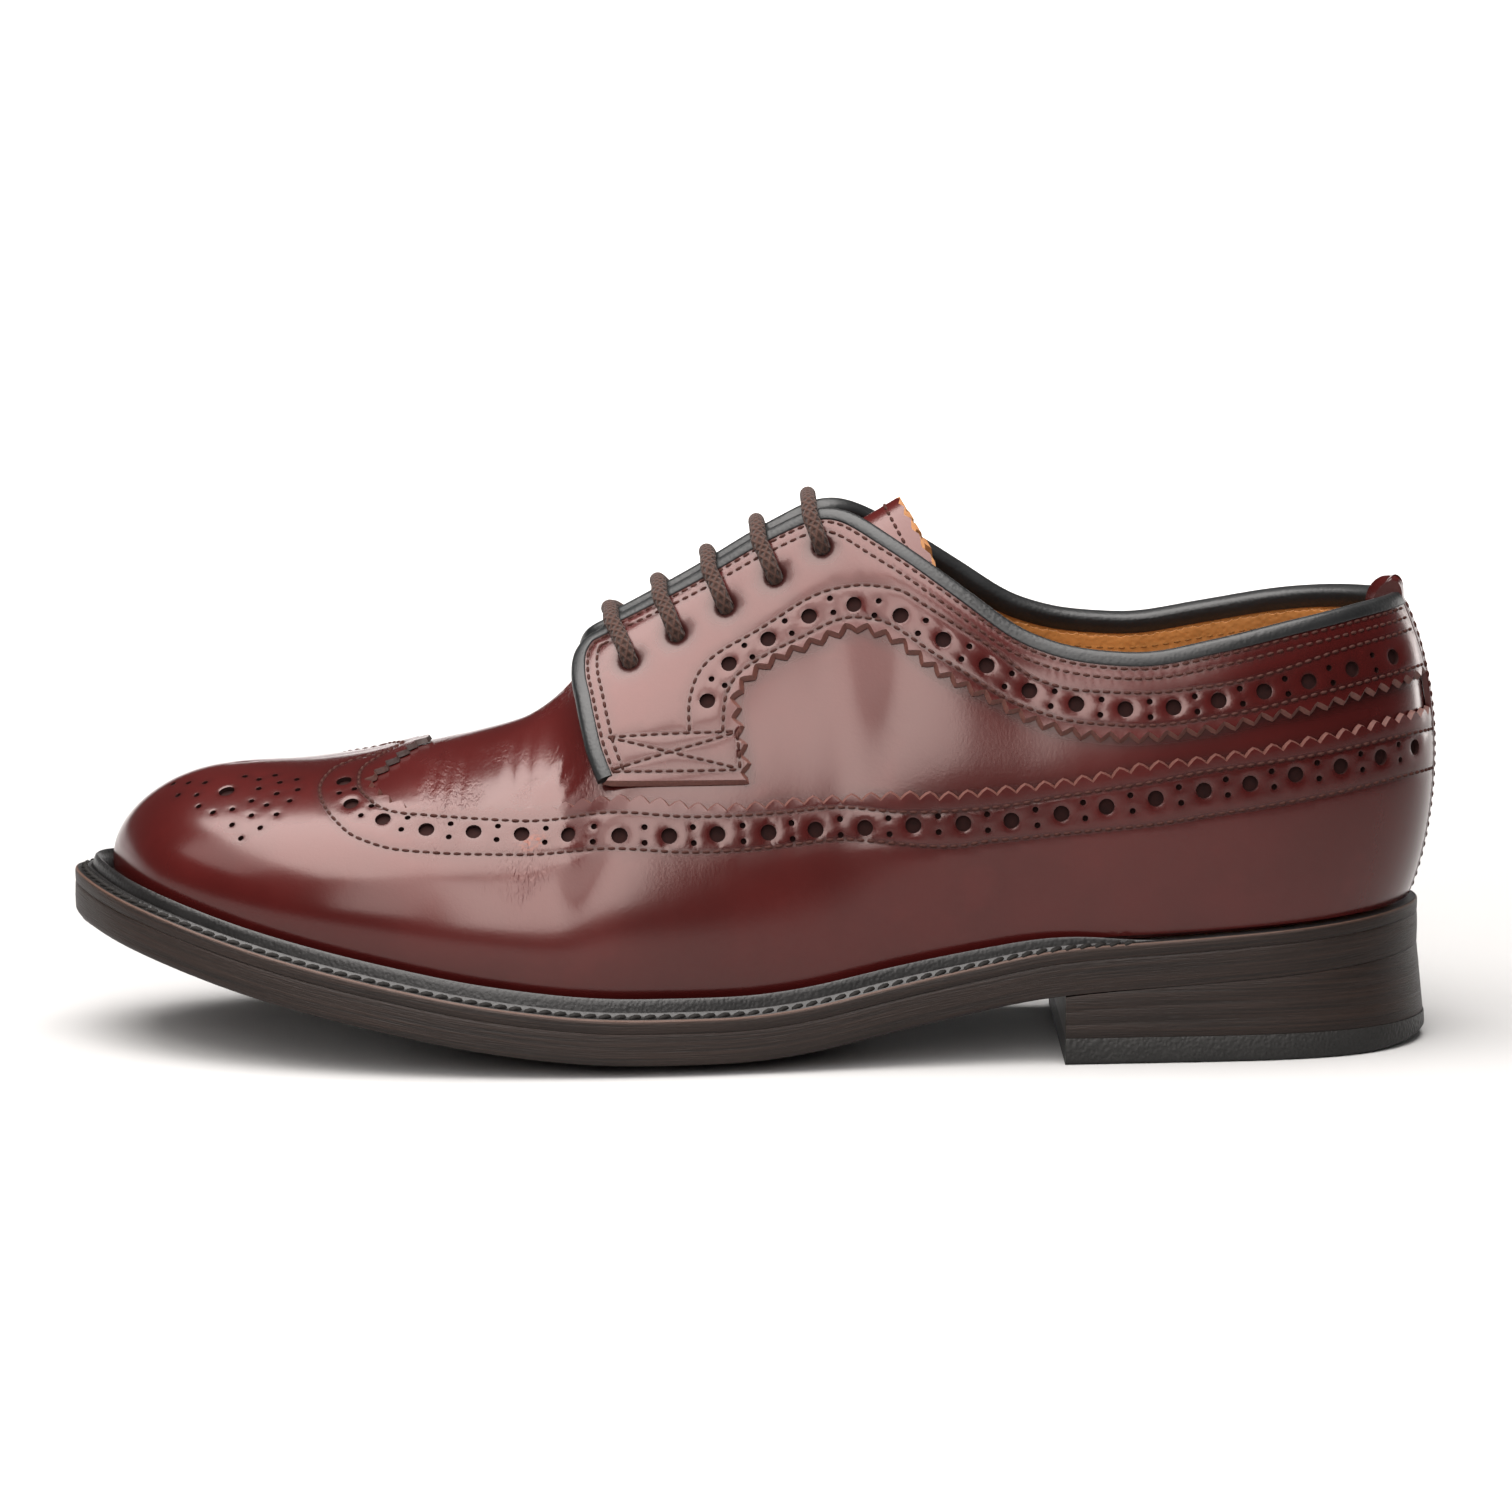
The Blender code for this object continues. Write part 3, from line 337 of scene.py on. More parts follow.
class Last:
    """The last's loop curves, worked out once from the tables."""

    def __init__(self):
        self.loop = np.linspace(0, 2, 2 * DENSE, endpoint=False)
        self.from_heel = np.minimum(self.loop, 2 - self.loop)
        self.inner_side = self.loop > 1
        x, middle, edge = columns_of(SOLE_PROFILE)
        self.underside = table_curve(x, middle, PROFILE_SOFT)
        self.edge_rise = table_curve(x, edge, EDGE_SOFT)
        x, margin, bead = columns_of(WELT)
        self.margin = table_curve(x, margin, MARGIN_SOFT)
        self.bead = table_curve(x, bead, BEAD_SOFT)
        self.swing = table_curve(*columns_of(RIDGE_SWING), SWING_SOFT)
        self.set_outline()
        self.set_sections()
        self.set_tops()
        self.throat = float(self.place_of(THROAT_X))

    def set_outline(self):
        x, outer, inner = columns_of(SOLE_OUTLINE)
        heel, toe = np.array([HEEL_END]), np.array([TOE_TIP])
        outer = np.concatenate((heel, np.column_stack((x, -outer)), toe))
        inner = np.concatenate((heel, np.column_stack((x, inner)), toe))
        rows = 0.0
        for side in (outer, inner):
            chord = np.insert(np.cumsum(np.hypot(*np.diff(side, axis=0).T)), 0, 0.0)
            rows = rows + chord / chord[-1] / 2
        knots = np.concatenate((rows, 2 - rows[-2:0:-1]))
        self.outline = loop_spline(knots, np.concatenate((outer, inner[-2:0:-1])), self.loop)
        along = np.roll(self.outline, -1, axis=0) - np.roll(self.outline, 1, axis=0)
        along /= np.hypot(*along.T)[:, None]
        self.out = np.column_stack((-along[:, 1], along[:, 0]))
        feather = self.outline - self.out * self.margin(self.outline[:, 0])[:, None]
        self.feather = np.column_stack((feather, self.upper_base(feather[:, 0])))

    def set_sections(self):
        x, *columns = columns_of(SECTIONS)
        at = self.place_of(x)
        outer, inner, self.reach, self.shoulder, self.drop = [
            table_curve(at, column, SECTION_SOFT, True)(self.from_heel) for column in columns]
        blend = np.clip(np.minimum(self.from_heel, 1 - self.from_heel) / SIDES_BLEND, 0, 1)
        share = 0.5 + eased(blend, self.inner_side - 0.5)
        self.lean = outer * (1 - share) + inner * share

    def set_tops(self):
        x, top_x, gap, z, inner_rise, facing_gap, facing_z = columns_of(TOP_LINE)
        at = self.place_of(x)
        ridge_x = table_curve(at, top_x, TOP_X_SOFT, True)(self.from_heel)
        rise = table_curve(at, inner_rise, TOP_RISE_SOFT, True)(self.from_heel) * self.inner_side
        side = np.where(self.inner_side, 1.0, -1.0)
        tops = []
        for g, h in ((gap, z), (facing_gap, facing_z)):
            half = np.maximum(table_curve(at, g, TOP_GAP_SOFT)(self.from_heel), 0.0)
            height = table_curve(at, h, TOP_Z_SOFT, True)(self.from_heel) + rise
            tops.append(np.column_stack((ridge_x, self.swing(ridge_x) + side * half, height)))
        self.top, self.facing_top = tops

    def place_of(self, x, on_top=False):
        """Loop place on the outer side where the feather line, or the ridge or topline, has this x."""
        half = self.loop <= 1
        line = self.top if on_top else self.feather
        return np.interp(-np.asarray(x, float), -line[half][:, 0], self.loop[half])

    def sole_edge(self, x):
        return self.underside(x) + self.edge_rise(x)

    def welt_base(self, x):
        return self.sole_edge(x) + SOLE_THICK + SEAM

    def upper_base(self, x):
        return self.welt_base(x) + WELT_THICK + SEAM

    def at(self, curve, place):
        """A loop curve's values at these places."""
        spot = np.mod(np.asarray(place, float), 2) * DENSE
        low = np.floor(spot).astype(int)
        share = spot - low if curve.ndim == 1 else (spot - low)[..., None]
        return curve[low % (2 * DENSE)] * (1 - share) + curve[(low + 1) % (2 * DENSE)] * share

    def point(self, place, height, facing=False):
        """Outer face of the upper; facing picks the surface that the facings lie on."""
        flat = np.zeros(np.shape(place) + (1,))
        out = np.concatenate((self.at(self.out, place), flat), axis=-1)
        lean, reach, shoulder, drop = [
            self.at(curve, place)[..., None] for curve in (self.lean, self.reach, self.shoulder, self.drop)]
        foot = self.at(self.feather, place)
        top = self.at(self.facing_top if facing else self.top, place)
        wall = foot + out * lean + UP * reach
        crest = top + out * shoulder - UP * drop
        t = np.asarray(height, float)[..., None]
        s = 1 - t
        spot = foot * s ** 3 + wall * 3 * t * s ** 2 + crest * 3 * t ** 2 * s + top * t ** 3
        if not facing:
            aside = np.clip(RIDGE_ROUND - np.abs(spot[..., 1] - self.swing(spot[..., 0])), 0, RIDGE_ROUND)
            fade = np.clip((THROAT_X - 1 - spot[..., 0]) / RIDGE_START, 0, 1)
            spot[..., 2] -= fade * (drop / shoulder)[..., 0] * aside ** 2 / (2 * RIDGE_ROUND)
        return spot

    def normal(self, place, height, facing=False):
        """Outward direction of the upper's face."""
        aside, up = 0.003, 0.01
        height = np.clip(height, up, 0.97)
        around = self.point(place + aside, height, facing) - self.point(place - aside, height, facing)
        rising = self.point(place, height + up, facing) - self.point(place, height - up, facing)
        return unit(np.cross(rising, around))

    def lifted(self, place, height, lift, facing=False):
        """A point at this lift off the upper's face."""
        place, height = np.broadcast_arrays(np.asarray(place, float), np.asarray(height, float))
        normal = self.normal(place, height, facing)
        return self.point(place, height, facing) + normal * np.asarray(lift)[..., None]


LAST = Last()


def strip_half(height):
    """Half width of the back strip in loop places: wide at the topline, narrow below the collar."""
    share = np.clip((np.asarray(height, float) - STRIP_FROM) / STRIP_RUN, 0, 1)
    return STRIP_FOOT + eased(share, STRIP_GAIN)


def beside_strip(heights):
    """Chart points along the back strip's edge at these heights."""
    return np.column_stack((strip_half(heights) + STRIP_PLAY, heights))


def at_height(places, height):
    """Chart points at these places and one height."""
    return np.column_stack((places, np.full(len(places), height)))


# Lines on the last

def to_photo(points):
    """Pixels of points in the photograph's view."""
    sine, cosine = math.sin(VIEW_TILT), math.cos(VIEW_TILT)
    x, y, z = np.moveaxis(points - VIEW_AIM, -1, 0)
    zoom = PHOTO * LENS / SENSOR / (VIEW_FAR + y * cosine - z * sine)
    return np.stack((PHOTO / 2 + zoom * x, PHOTO / 2 - zoom * (y * sine + z * cosine)), axis=-1)


GRIDS = {}


def from_photo(pixels, facing=False):
    """Chart points on the outer side that the photograph shows at these pixels."""
    if facing not in GRIDS:
        place, height = np.meshgrid(*[np.linspace(0, 1, count) for count in PHOTO_GRID], indexing="ij")
        points = LAST.point(place, height, facing)
        eye = VIEW_AIM + VIEW_FAR * np.array((0.0, -math.cos(VIEW_TILT), math.sin(VIEW_TILT)))
        seen = ((eye - points) * LAST.normal(place, height, facing)).sum(axis=-1) > 0
        GRIDS[facing] = np.stack((place, height), axis=-1)[seen], to_photo(points)[seen]
    charts, photo = GRIDS[facing]
    step, stride = 1e-3, 0.01
    found = []
    for pixel in np.asarray(pixels, float):
        chart = charts[np.argmin(((photo - pixel) ** 2).sum(axis=1))].copy()
        for _ in range(3):
            miss = pixel - to_photo(LAST.point(*chart, facing))
            slope = []
            for way in np.eye(2) * step:
                ahead, behind = [to_photo(LAST.point(*spot, facing)) for spot in (chart + way, chart - way)]
                slope.append((ahead - behind) / (2 * step))
            move = np.linalg.lstsq(np.stack(slope, axis=-1), miss, rcond=1e-2)[0]
            chart = np.clip(chart + np.clip(move, -stride, stride), 0.0, 1.0)
        found.append(chart)
    return np.array(found)


def even(line, step, facing=False):
    """The same chart line with points about step apart."""
    length = run_length(LAST.point(*line.T, facing))
    at = np.linspace(0, length[-1], max(2, int(round(length[-1] / step)) + 1))
    return at_lengths(at, length, line)


def trace(pixels, facing=False, step=LINE_STEP):
    """A rounded chart line through pixels of the photograph."""
    return even(smooth_line(from_photo(pixels, facing), LINE_ROUND), step, facing)


def mirrored(line):
    """The same line on the inner side."""
    return np.column_stack((2 - line[:, 0], line[:, 1]))


SIDES = (("outer", np.array), ("inner", mirrored))


def both_sides(line):
    return [turn(line) for _, turn in SIDES]


def drift(chart, vectors, facing=False):
    """Chart steps that move points on the last by these vectors."""
    step = 1e-4
    place, height = chart[:, 0], np.clip(chart[:, 1], step, 1 - step)

    def slope(aside, up):
        ahead, behind = [LAST.point(place + k * aside, height + k * up, facing) for k in (1, -1)]
        return (ahead - behind) / (2 * step)

    around, rising = slope(step, 0.0), slope(0.0, step)
    aa, bb, ab = [(u * v).sum(axis=1) for u, v in ((around, around), (rising, rising), (around, rising))]
    av, bv = [(u * vectors).sum(axis=1) for u in (around, rising)]
    scale = np.maximum(aa * bb - ab * ab, 1e-3 * aa.max() * bb.max())
    return np.column_stack((bb * av - ab * bv, aa * bv - ab * av)) / scale[:, None]


def beside(line, distance, facing=False):
    """A chart line moved to its left, as seen from outside, by a distance in mm."""
    step = np.broadcast_to(distance, len(line))[:, None] / 3
    for _ in range(3):
        points = LAST.point(*line.T, facing)
        left = np.cross(LAST.normal(*line.T, facing), unit(np.gradient(points, axis=0)))
        line = line + drift(line, left * step, facing)
    return line


def gimped(line, pitch, depth, facing=False):
    """A toothed edge whose tips lie on the line and whose notches reach depth to its left."""
    fine = even(line, pitch / TOOTH_STEPS, facing)
    teeth = np.abs((np.arange(len(fine)) / TOOTH_STEPS + 0.5) % 1 * 2 - 1)
    return beside(fine, depth * teeth, facing)


def ring_at(centre, radius, facing=False, sides=RING_SIDES):
    """A round chart loop about a chart point."""
    turn = np.linspace(0, 2 * np.pi, sides, endpoint=False)[:, None]
    normal = LAST.normal(*centre, facing)
    across = unit(np.cross(normal, (0.0, 0.3, 1.0)))
    over = np.cross(normal, across)
    centres = np.repeat([centre], sides, axis=0)
    return centres + drift(centres, radius * (np.cos(turn) * across + np.sin(turn) * over), facing)


def hole_band(pixels, facing, large, small, gap):
    """Large holes at pixels with a pair of small ones across the band between each two: centre, radius."""
    centres = from_photo(pixels, facing)
    strip_clear = 0.012
    last = 2 * centres[0] - centres[1]
    if last[0] > strip_half(last[1]) + strip_clear:
        centres = np.concatenate(([last], centres))
    holes = [(centre, large) for centre in centres]
    between = (centres[1:] + centres[:-1]) / 2
    for side in (-gap, gap):
        for start, end, middle in zip(centres, centres[1:], between):
            holes.append((beside(np.array((start, middle, end)), side, facing)[1], small))
    return holes


def nearest(points, samples):
    """Distance from each point to the nearest sample, and that sample's number."""
    tree = kdtree.KDTree(len(samples))
    for number, sample in enumerate(samples):
        tree.insert(Vector(sample), number)
    tree.balance()
    found = [tree.find(Vector(p)) for p in points]
    return np.array([f[2] for f in found]), np.array([f[1] for f in found])


def flat_nearest(points, samples):
    """As nearest, for points in the flat."""
    return nearest(*[np.column_stack((spots, np.zeros(len(spots)))) for spots in (points, samples)])


def from_holes(points, holes, facing):
    """Distance from each point to the nearest hole's centre, and that hole's radius."""
    centres, radii = [np.array(column) for column in zip(*holes)]
    far, number = nearest(points, LAST.point(*centres.T, facing))
    return far, radii[number]


class Creases:
    """Soft troughs that cross the vamp on both sides."""
    felt = 20                       # mm round a trough
    swell, swell_at = 0.35, 2.0     # raised leather beside it: share of its depth, place in half widths
    flexing = 6.5                   # mm beside it

    def __init__(self):
        self.lines = []
        for deep, half, pixels in CREASES:
            line = trace(pixels, step=0.6)
            depth = deep * np.sin(np.linspace(0, np.pi, len(line))) ** 0.6
            self.lines += [(LAST.point(*side.T), depth, half) for side in both_sides(line)]

    def sink(self, points):
        """How far each point sinks, and how much it flexes (0 to 1)."""
        sunk, flex = np.zeros(len(points)), np.zeros(len(points))
        for samples, depth, half in self.lines:
            low, high = samples.min(axis=0) - self.felt, samples.max(axis=0) + self.felt
            near = np.flatnonzero(((points > low) & (points < high)).all(axis=1))
            if len(near) == 0:
                continue
            far, number = nearest(points[near], samples)
            share = far / half
            sunk[near] += depth[number] * (bell(share, 1) - self.swell * bell(share - self.swell_at, 1))
            flex[near] = np.maximum(flex[near], bell(far, self.flexing))
        return sunk, flex


# Meshes

def add_object(name, data):
    made = bpy.data.objects.new(name, data)
    bpy.context.scene.collection.objects.link(made)
    return made


def add_mesh(name, points, faces, materials, slots=None, fields=None, corners=None, sharp=0.9):
    """A mesh piece from points in mm, with outward faces, material slots, vertex fields and a corner map."""
    mesh = bpy.data.meshes.new(name)
    mesh.from_pydata((np.asarray(points) * MM).tolist(), [], [[int(c) for c in face] for face in faces])
    for material in materials:
        mesh.materials.append(material)
    if slots is not None:
        mesh.polygons.foreach_set("material_index", np.asarray(slots, np.int32))
    for field, values in (fields or {}).items():
        mesh.attributes.new(field, "FLOAT", "POINT").data.foreach_set("value", np.asarray(values, np.float32))
    if corners is not None:
        mesh.uv_layers.new(name="UVMap").data.foreach_set("uv", np.asarray(corners, np.float32).ravel())
    build = bmesh.new()
    build.from_mesh(mesh)
    bmesh.ops.recalc_face_normals(build, faces=build.faces)
    if build.calc_volume(signed=True) < 0:
        bmesh.ops.reverse_faces(build, faces=build.faces)
    build.to_mesh(mesh)
    build.free()
    mesh.shade_smooth()
    mesh.set_sharp_from_angle(angle=sharp)
    return add_object(name, mesh)


def seat(piece, slot, *nodes):
    """Let a piece ride on the shoe and hide the CAD nodes that it stands for. Its slot, the name of its
    finish, is not used.
    """
    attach(piece, "root")
    if nodes:
        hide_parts(*nodes)


def cells(number):
    """Corners of every cell of a grid of numbers."""
    corners = number[:-1, :-1], number[:-1, 1:], number[1:, 1:], number[1:, :-1]
    return np.stack(corners, axis=-1).reshape(-1, 4)


def compact(faces):
    """Numbers of the points that faces use, and the faces with those points numbered afresh."""
    used = np.unique(np.concatenate(faces))
    fresh = np.zeros(used[-1] + 1, int)
    fresh[used] = np.arange(len(used))
    return used, [fresh[face].tolist() for face in faces]


def tube(rings, closed=False):
    """Points, faces and a corner map of rings joined to a tube with flat ends."""
    rings = np.asarray(rings)
    count, size = rings.shape[:2]
    number = np.arange(count * size).reshape(count, size)
    ends = [] if closed else [number[0].tolist(), number[-1].tolist()]
    wrapped = np.column_stack((number, number[:, 0]))
    if closed:
        wrapped = np.concatenate((wrapped, wrapped[:1]))
    along = np.append(run_length(rings.mean(axis=1)), 0.0)[:len(wrapped)]
    grid = np.stack(np.meshgrid(along, np.linspace(0, 1, size + 1), indexing="ij"), axis=-1).reshape(-1, 2)
    spots = cells(np.arange(wrapped.size).reshape(wrapped.shape))
    corners = np.concatenate((grid[spots].reshape(-1, 2), np.zeros((len(ends) * size, 2))))
    return rings.reshape(-1, 3), cells(wrapped).tolist() + ends, corners


def swept(path, radius, sides, start=(1.0, 0.0, 0.3)):
    """Rings of a round cord along a path, carried along without twist."""
    along = unit(np.gradient(path, axis=0))
    turn = np.linspace(0, 2 * np.pi, sides, endpoint=False)[:, None]
    across = np.array(start)
    rings = []
    for point, way, wide in zip(path, along, np.broadcast_to(radius, len(path))):
        across = unit(across - way * (across @ way))
        over = np.cross(way, across)
        rings.append(point + wide * (np.cos(turn) * across + np.sin(turn) * over))
    return np.array(rings)


def inside(points, outline):
    """Which flat points lie inside a closed outline."""
    start, end = outline, np.roll(outline, -1, axis=0)
    rise = end[:, 1] - start[:, 1]
    rise = np.where(rise == 0, 1e-12, rise)
    result = np.zeros(len(points), bool)
    batch = 1500
    for first in range(0, len(points), batch):
        some = slice(first, first + batch)
        x, y = points[some, 0, None], points[some, 1, None]
        crosses = (start[:, 1] > y) != (end[:, 1] > y)
        reach = start[:, 0] + (end[:, 0] - start[:, 0]) * (y - start[:, 1]) / rise
        result[some] = (crosses & (x < reach)).sum(axis=1) % 2 == 1
    return result


CHART_MM = np.array((330.0, 88.0))      # rough size of one side's chart


def cut_panel(outline, holes, rows, facing, spacing):
    """Chart points and triangles of a panel with holes, with more points along its rows."""
    line_share, row_clear, grid_clear = 0.87, 0.4, 0.62 * spacing
    flat_outline = outline * CHART_MM
    loops = [outline] + [ring_at(centre, radius, facing) for centre, radius in holes]
    fixed = np.concatenate(loops) * CHART_MM
    edges, first = [], 0
    for loop in loops:
        edges += [(first + k, first + (k + 1) % len(loop)) for k in range(len(loop))]
        first += len(loop)
    crowd = np.concatenate(rows) * CHART_MM
    low, high = flat_outline.min(axis=0), flat_outline.max(axis=0)
    columns = np.arange(low[0], high[0], spacing)
    lines = np.arange(low[1], high[1], spacing * line_share)
    x, y = np.meshgrid(columns, lines)
    x = x + (np.arange(len(lines)) % 2)[:, None] * spacing / 2
    grid = np.column_stack((x.ravel(), y.ravel()))
    kept = [fixed]
    for cloud, clear in ((crowd, row_clear), (grid, grid_clear)):
        cloud = cloud[inside(cloud, flat_outline)]
        far = flat_nearest(cloud, np.concatenate(kept))[0]
        kept.append(cloud[far > clear])
    flat = np.concatenate(kept)
    result = delaunay_2d_cdt([Vector(p) for p in flat], edges, [], 0, 1e-6)
    flat = np.array([(p.x, p.y) for p in result[0]])
    faces = np.array([face for face in result[2] if len(face) == 3])
    faces = faces[inside(flat[faces].mean(axis=1), flat_outline)]
    chart = flat / CHART_MM
    middle = LAST.point(*chart[faces].mean(axis=1).T, facing)
    far, radius = from_holes(middle, holes, facing)
    faces = faces[far > radius * 0.98]
    used, faces = np.unique(faces, return_inverse=True)
    return chart[used], faces.reshape(-1, 3)


def thick_panel(chart, under, faces, top, bottom, facing, ridge=False):
    """Points, faces, slots (0 face, 1 cut edge) and each point's number on the chart, for a panel between two
    lifts with chart points for its face and its underside. With ridge set, its sides are joined along it."""
    count = len(chart)
    points = np.concatenate((LAST.lifted(*chart.T, top, facing), LAST.lifted(*under.T, bottom, facing)))
    number = np.arange(2 * count)
    seam = np.zeros(count, bool)
    if ridge:
        seam = (chart[:, 1] > 1 - 1e-6) & (np.abs(chart[:, 0] - 1) < 1 - LAST.throat)
        spots = np.flatnonzero(seam)
        for i in spots[chart[spots, 0] > 1]:
            other = spots[np.argmin(np.abs(chart[spots, 0] - (2 - chart[i, 0])))]
            for layer in (0, count):
                points[other + layer] = (points[other + layer] + points[i + layer]) / 2
                number[i + layer] = other + layer
    pairs = np.sort(np.concatenate((faces[:, :2], faces[:, 1:], faces[:, ::2])), axis=1)
    pairs, uses = np.unique(pairs, axis=0, return_counts=True)
    rim = pairs[(uses == 1) & ~seam[pairs].all(axis=1)]
    sides = np.column_stack((rim[:, 0], rim[:, 1], rim[:, 1] + count, rim[:, 0] + count))
    made = number[faces].tolist() + number[faces[:, ::-1] + count].tolist() + number[sides].tolist()
    slots = [0] * (2 * len(faces)) + [1] * len(sides)
    used, made = compact(made)
    return points[used], made, slots, used % count


def stitch_points(line, pitch, facing, lift):
    """Middle, direction and normal of each stitch along a chart line."""
    spots = even(line, pitch, facing)
    middle = (spots[1:] + spots[:-1]) / 2
    along = unit(np.diff(LAST.lifted(*spots.T, lift, facing), axis=0))
    return LAST.lifted(*middle.T, lift, facing), along, LAST.normal(*middle.T, facing)


def stitch_run(points, normals, pitch, lift):
    """Middle, direction and normal of each stitch along a line in space."""
    length = run_length(points)
    count = max(1, int(round(length[-1] / pitch)))
    at = np.linspace(0, length[-1], 2 * count + 1)
    spots, ups = at_lengths(at, length, points), unit(at_lengths(at, length, normals))
    return spots[1::2] + ups[1::2] * lift, unit(np.diff(spots[::2], axis=0)), ups[1::2]


def plate(places, layers, shares, base):
    """Points, faces, slots (0 side, 1 face) and fields of a plate under the foot. Layers, low to high, are
    an outset from the sole's outline, which takes x, and a height, which takes x and the share of the half
    width."""
    shares = np.asarray(shares)
    grid = np.zeros((len(layers), len(places), len(shares), 3))
    for level, (outset, height) in enumerate(layers):
        ends = []
        for p in (places, 2 - places):
            spot = LAST.at(LAST.outline, p)
            ends.append(spot + LAST.at(LAST.out, p) * outset(spot[:, 0])[:, None])
        flat = ends[0][:, None] * (1 - shares[:, None]) + ends[1][:, None] * shares[:, None]
        grid[level, ..., :2] = flat
        grid[level, ..., 2] = height(flat[..., 0], np.abs(2 * shares - 1)[None, :])
    number = np.arange(grid[..., 0].size).reshape(grid.shape[:3])
    number[:, 0, :] = number[:, 0, :1]
    if places[-1] == 1:
        number[:, -1, :] = number[:, -1, :1]
    sides = [cells(number[:, :, k]) for k in (0, -1)]
    if places[-1] < 1:
        sides.append(cells(number[:, -1]))
    sides, flats = np.concatenate(sides), np.concatenate([cells(number[level]) for level in (0, -1)])
    faces = [list(dict.fromkeys(face)) for face in np.concatenate((sides, flats)).tolist()]
    slots = [0] * len(sides) + [1] * len(flats)
    slots = [slot for slot, face in zip(slots, faces) if len(face) > 2]
    faces = [face for face in faces if len(face) > 2]
    used, faces = compact(faces)
    run = run_length(LAST.at(LAST.outline, places))
    sideways = 0.3 * grid[..., 1] * (shares - 0.5)
    along = np.broadcast_to(run[None, :, None], grid.shape[:3]) + sideways
    up = grid[..., 2] - base(grid[..., 0])
    fields = {"along": along.ravel()[used], "up": up.ravel()[used]}
    return grid.reshape(-1, 3)[used], faces, slots, fields


def plate_piece(name, materials, slot, node, *shape):
    """A plate under the foot that stands for a CAD node."""
    points, faces, slots, fields = plate(*shape)
    seat(add_mesh(name, points, faces, materials, slots, fields), slot, node)


def sewn(name, stitches, length, radius, materials, lean=0.0):
    """Many small stitches as one mesh: each a short thread whose ends dip into the leather."""
    middle, along, normal = [np.concatenate(column) for column in zip(*stitches)]
    side = np.cross(normal, along)
    along = unit(along + side * lean)
    side = np.cross(normal, along)
    steps, sides = np.array((-1.0, -0.72, 0.0, 0.72, 1.0)), 6
    wide, dip = np.array((0.35, 0.85, 1.0, 0.85, 0.35)), np.array((-0.9, -0.3, 0.0, -0.3, -0.9))
    turn = np.linspace(0, 2 * np.pi, sides, endpoint=False)
    points = np.zeros((len(middle), len(steps), sides, 3))
    for k, (step, w, d) in enumerate(zip(steps, wide, dip)):
        spine = middle + along * step * length / 2 + normal * d * radius
        for j, angle in enumerate(turn):
            points[:, k, j] = spine + radius * w * (math.cos(angle) * side + math.sin(angle) * normal)
    number = np.arange(len(steps) * sides).reshape(len(steps), sides)
    template = cells(np.column_stack((number, number[:, 0]))).tolist()
    template += [number[0].tolist(), number[-1].tolist()]
    size = len(steps) * sides
    faces = [[corner + size * i for corner in face] for i in range(len(middle)) for face in template]
    return add_mesh(name, points.reshape(-1, 3), faces, materials, sharp=1.2)


# Finishes

class Shade:
    """A socket of a material's nodes. Sums on it add Math nodes, and node adds any other."""

    def __init__(self, tree, socket=None):
        self.tree, self.socket = tree, socket

    def node(self, kind, settings=None, sockets=None, out=0):
        made = self.tree.nodes.new(kind)
        for key, value in (settings or {}).items():
            setattr(made, key, value)
        for key, value in (sockets or {}).items():
            if isinstance(value, Shade):
                self.tree.links.new(value.socket, made.inputs[key])
            else:
                made.inputs[key].default_value = value
        return Shade(self.tree, made.outputs[out])

    def maths(self, operation, *values):
        return self.node("ShaderNodeMath", {"operation": operation}, dict(enumerate(values)))

    def __add__(self, other):
        return self.maths("ADD", self, other)

    def __sub__(self, other):
        return self.maths("SUBTRACT", self, other)

    def __rsub__(self, other):
        return self.maths("SUBTRACT", other, self)

    def __mul__(self, other):
        return self.maths("MULTIPLY", self, other)

    __radd__, __rmul__ = __add__, __mul__

    def clipped(self):
        return self.node("ShaderNodeClamp", None, {"Value": self})

    def between(self, low, high):
        """This value mapped to 0 at low and 1 at high."""
        sockets = {"Value": self, "From Min": low, "From Max": high}
        return self.node("ShaderNodeMapRange", {"interpolation_type": "SMOOTHSTEP"}, sockets)

    def mix(self, start, end):
        """A colour between two, with this value as the share of the second."""
        colours = [c if isinstance(c, Shade) else (*c, 1.0) for c in (start, end)]
        return self.node("ShaderNodeMix", {"data_type": "RGBA"}, {0: self, 6: colours[0], 7: colours[1]}, 2)

    def place(self):
        return self.node("ShaderNodeTexCoord", None, None, "Object")

    def field(self, name):
        return self.node("ShaderNodeAttribute", {"attribute_name": name}, None, "Fac")

    def stretched(self, scale):
        """Object space with a scale on each axis."""
        return self.node("ShaderNodeMapping", None, {"Vector": self.place(), "Scale": scale})

    def noise(self, scale, detail=2.0, vector=None, rough=0.5):
        sockets = {"Vector": vector or self.place(), "Scale": scale, "Detail": detail, "Roughness": rough}
        return self.node("ShaderNodeTexNoise", None, sockets)

    def pores(self, scale):
        """Rounded cells, as in a leather's grain."""
        sockets = {"Vector": self.place(), "Scale": scale}
        return self.node("ShaderNodeTexVoronoi", {"feature": "SMOOTH_F1"}, sockets, "Distance")


def finish(name, paint, **fixed):
    """A Principled material. paint takes an empty Shade and gives the sockets that vary, among them
    Bump as a height and the depth in metres that it stands for."""
    material = bpy.data.materials.new(name)
    material.use_nodes = True
    tree = material.node_tree
    shader = tree.nodes["Principled BSDF"]
    for key, value in fixed.items():
        shader.inputs[key.replace("_", " ")].default_value = value
    for key, value in paint(Shade(tree)).items():
        if key == "Bump":
            height, depth = value
            sockets = {"Height": height, "Strength": 1.0, "Distance": depth}
            key, value = "Normal", height.node("ShaderNodeBump", None, sockets)
        if isinstance(value, Shade):
            tree.links.new(value.socket, shader.inputs[key])
        else:
            shader.inputs[key].default_value = value
    return material


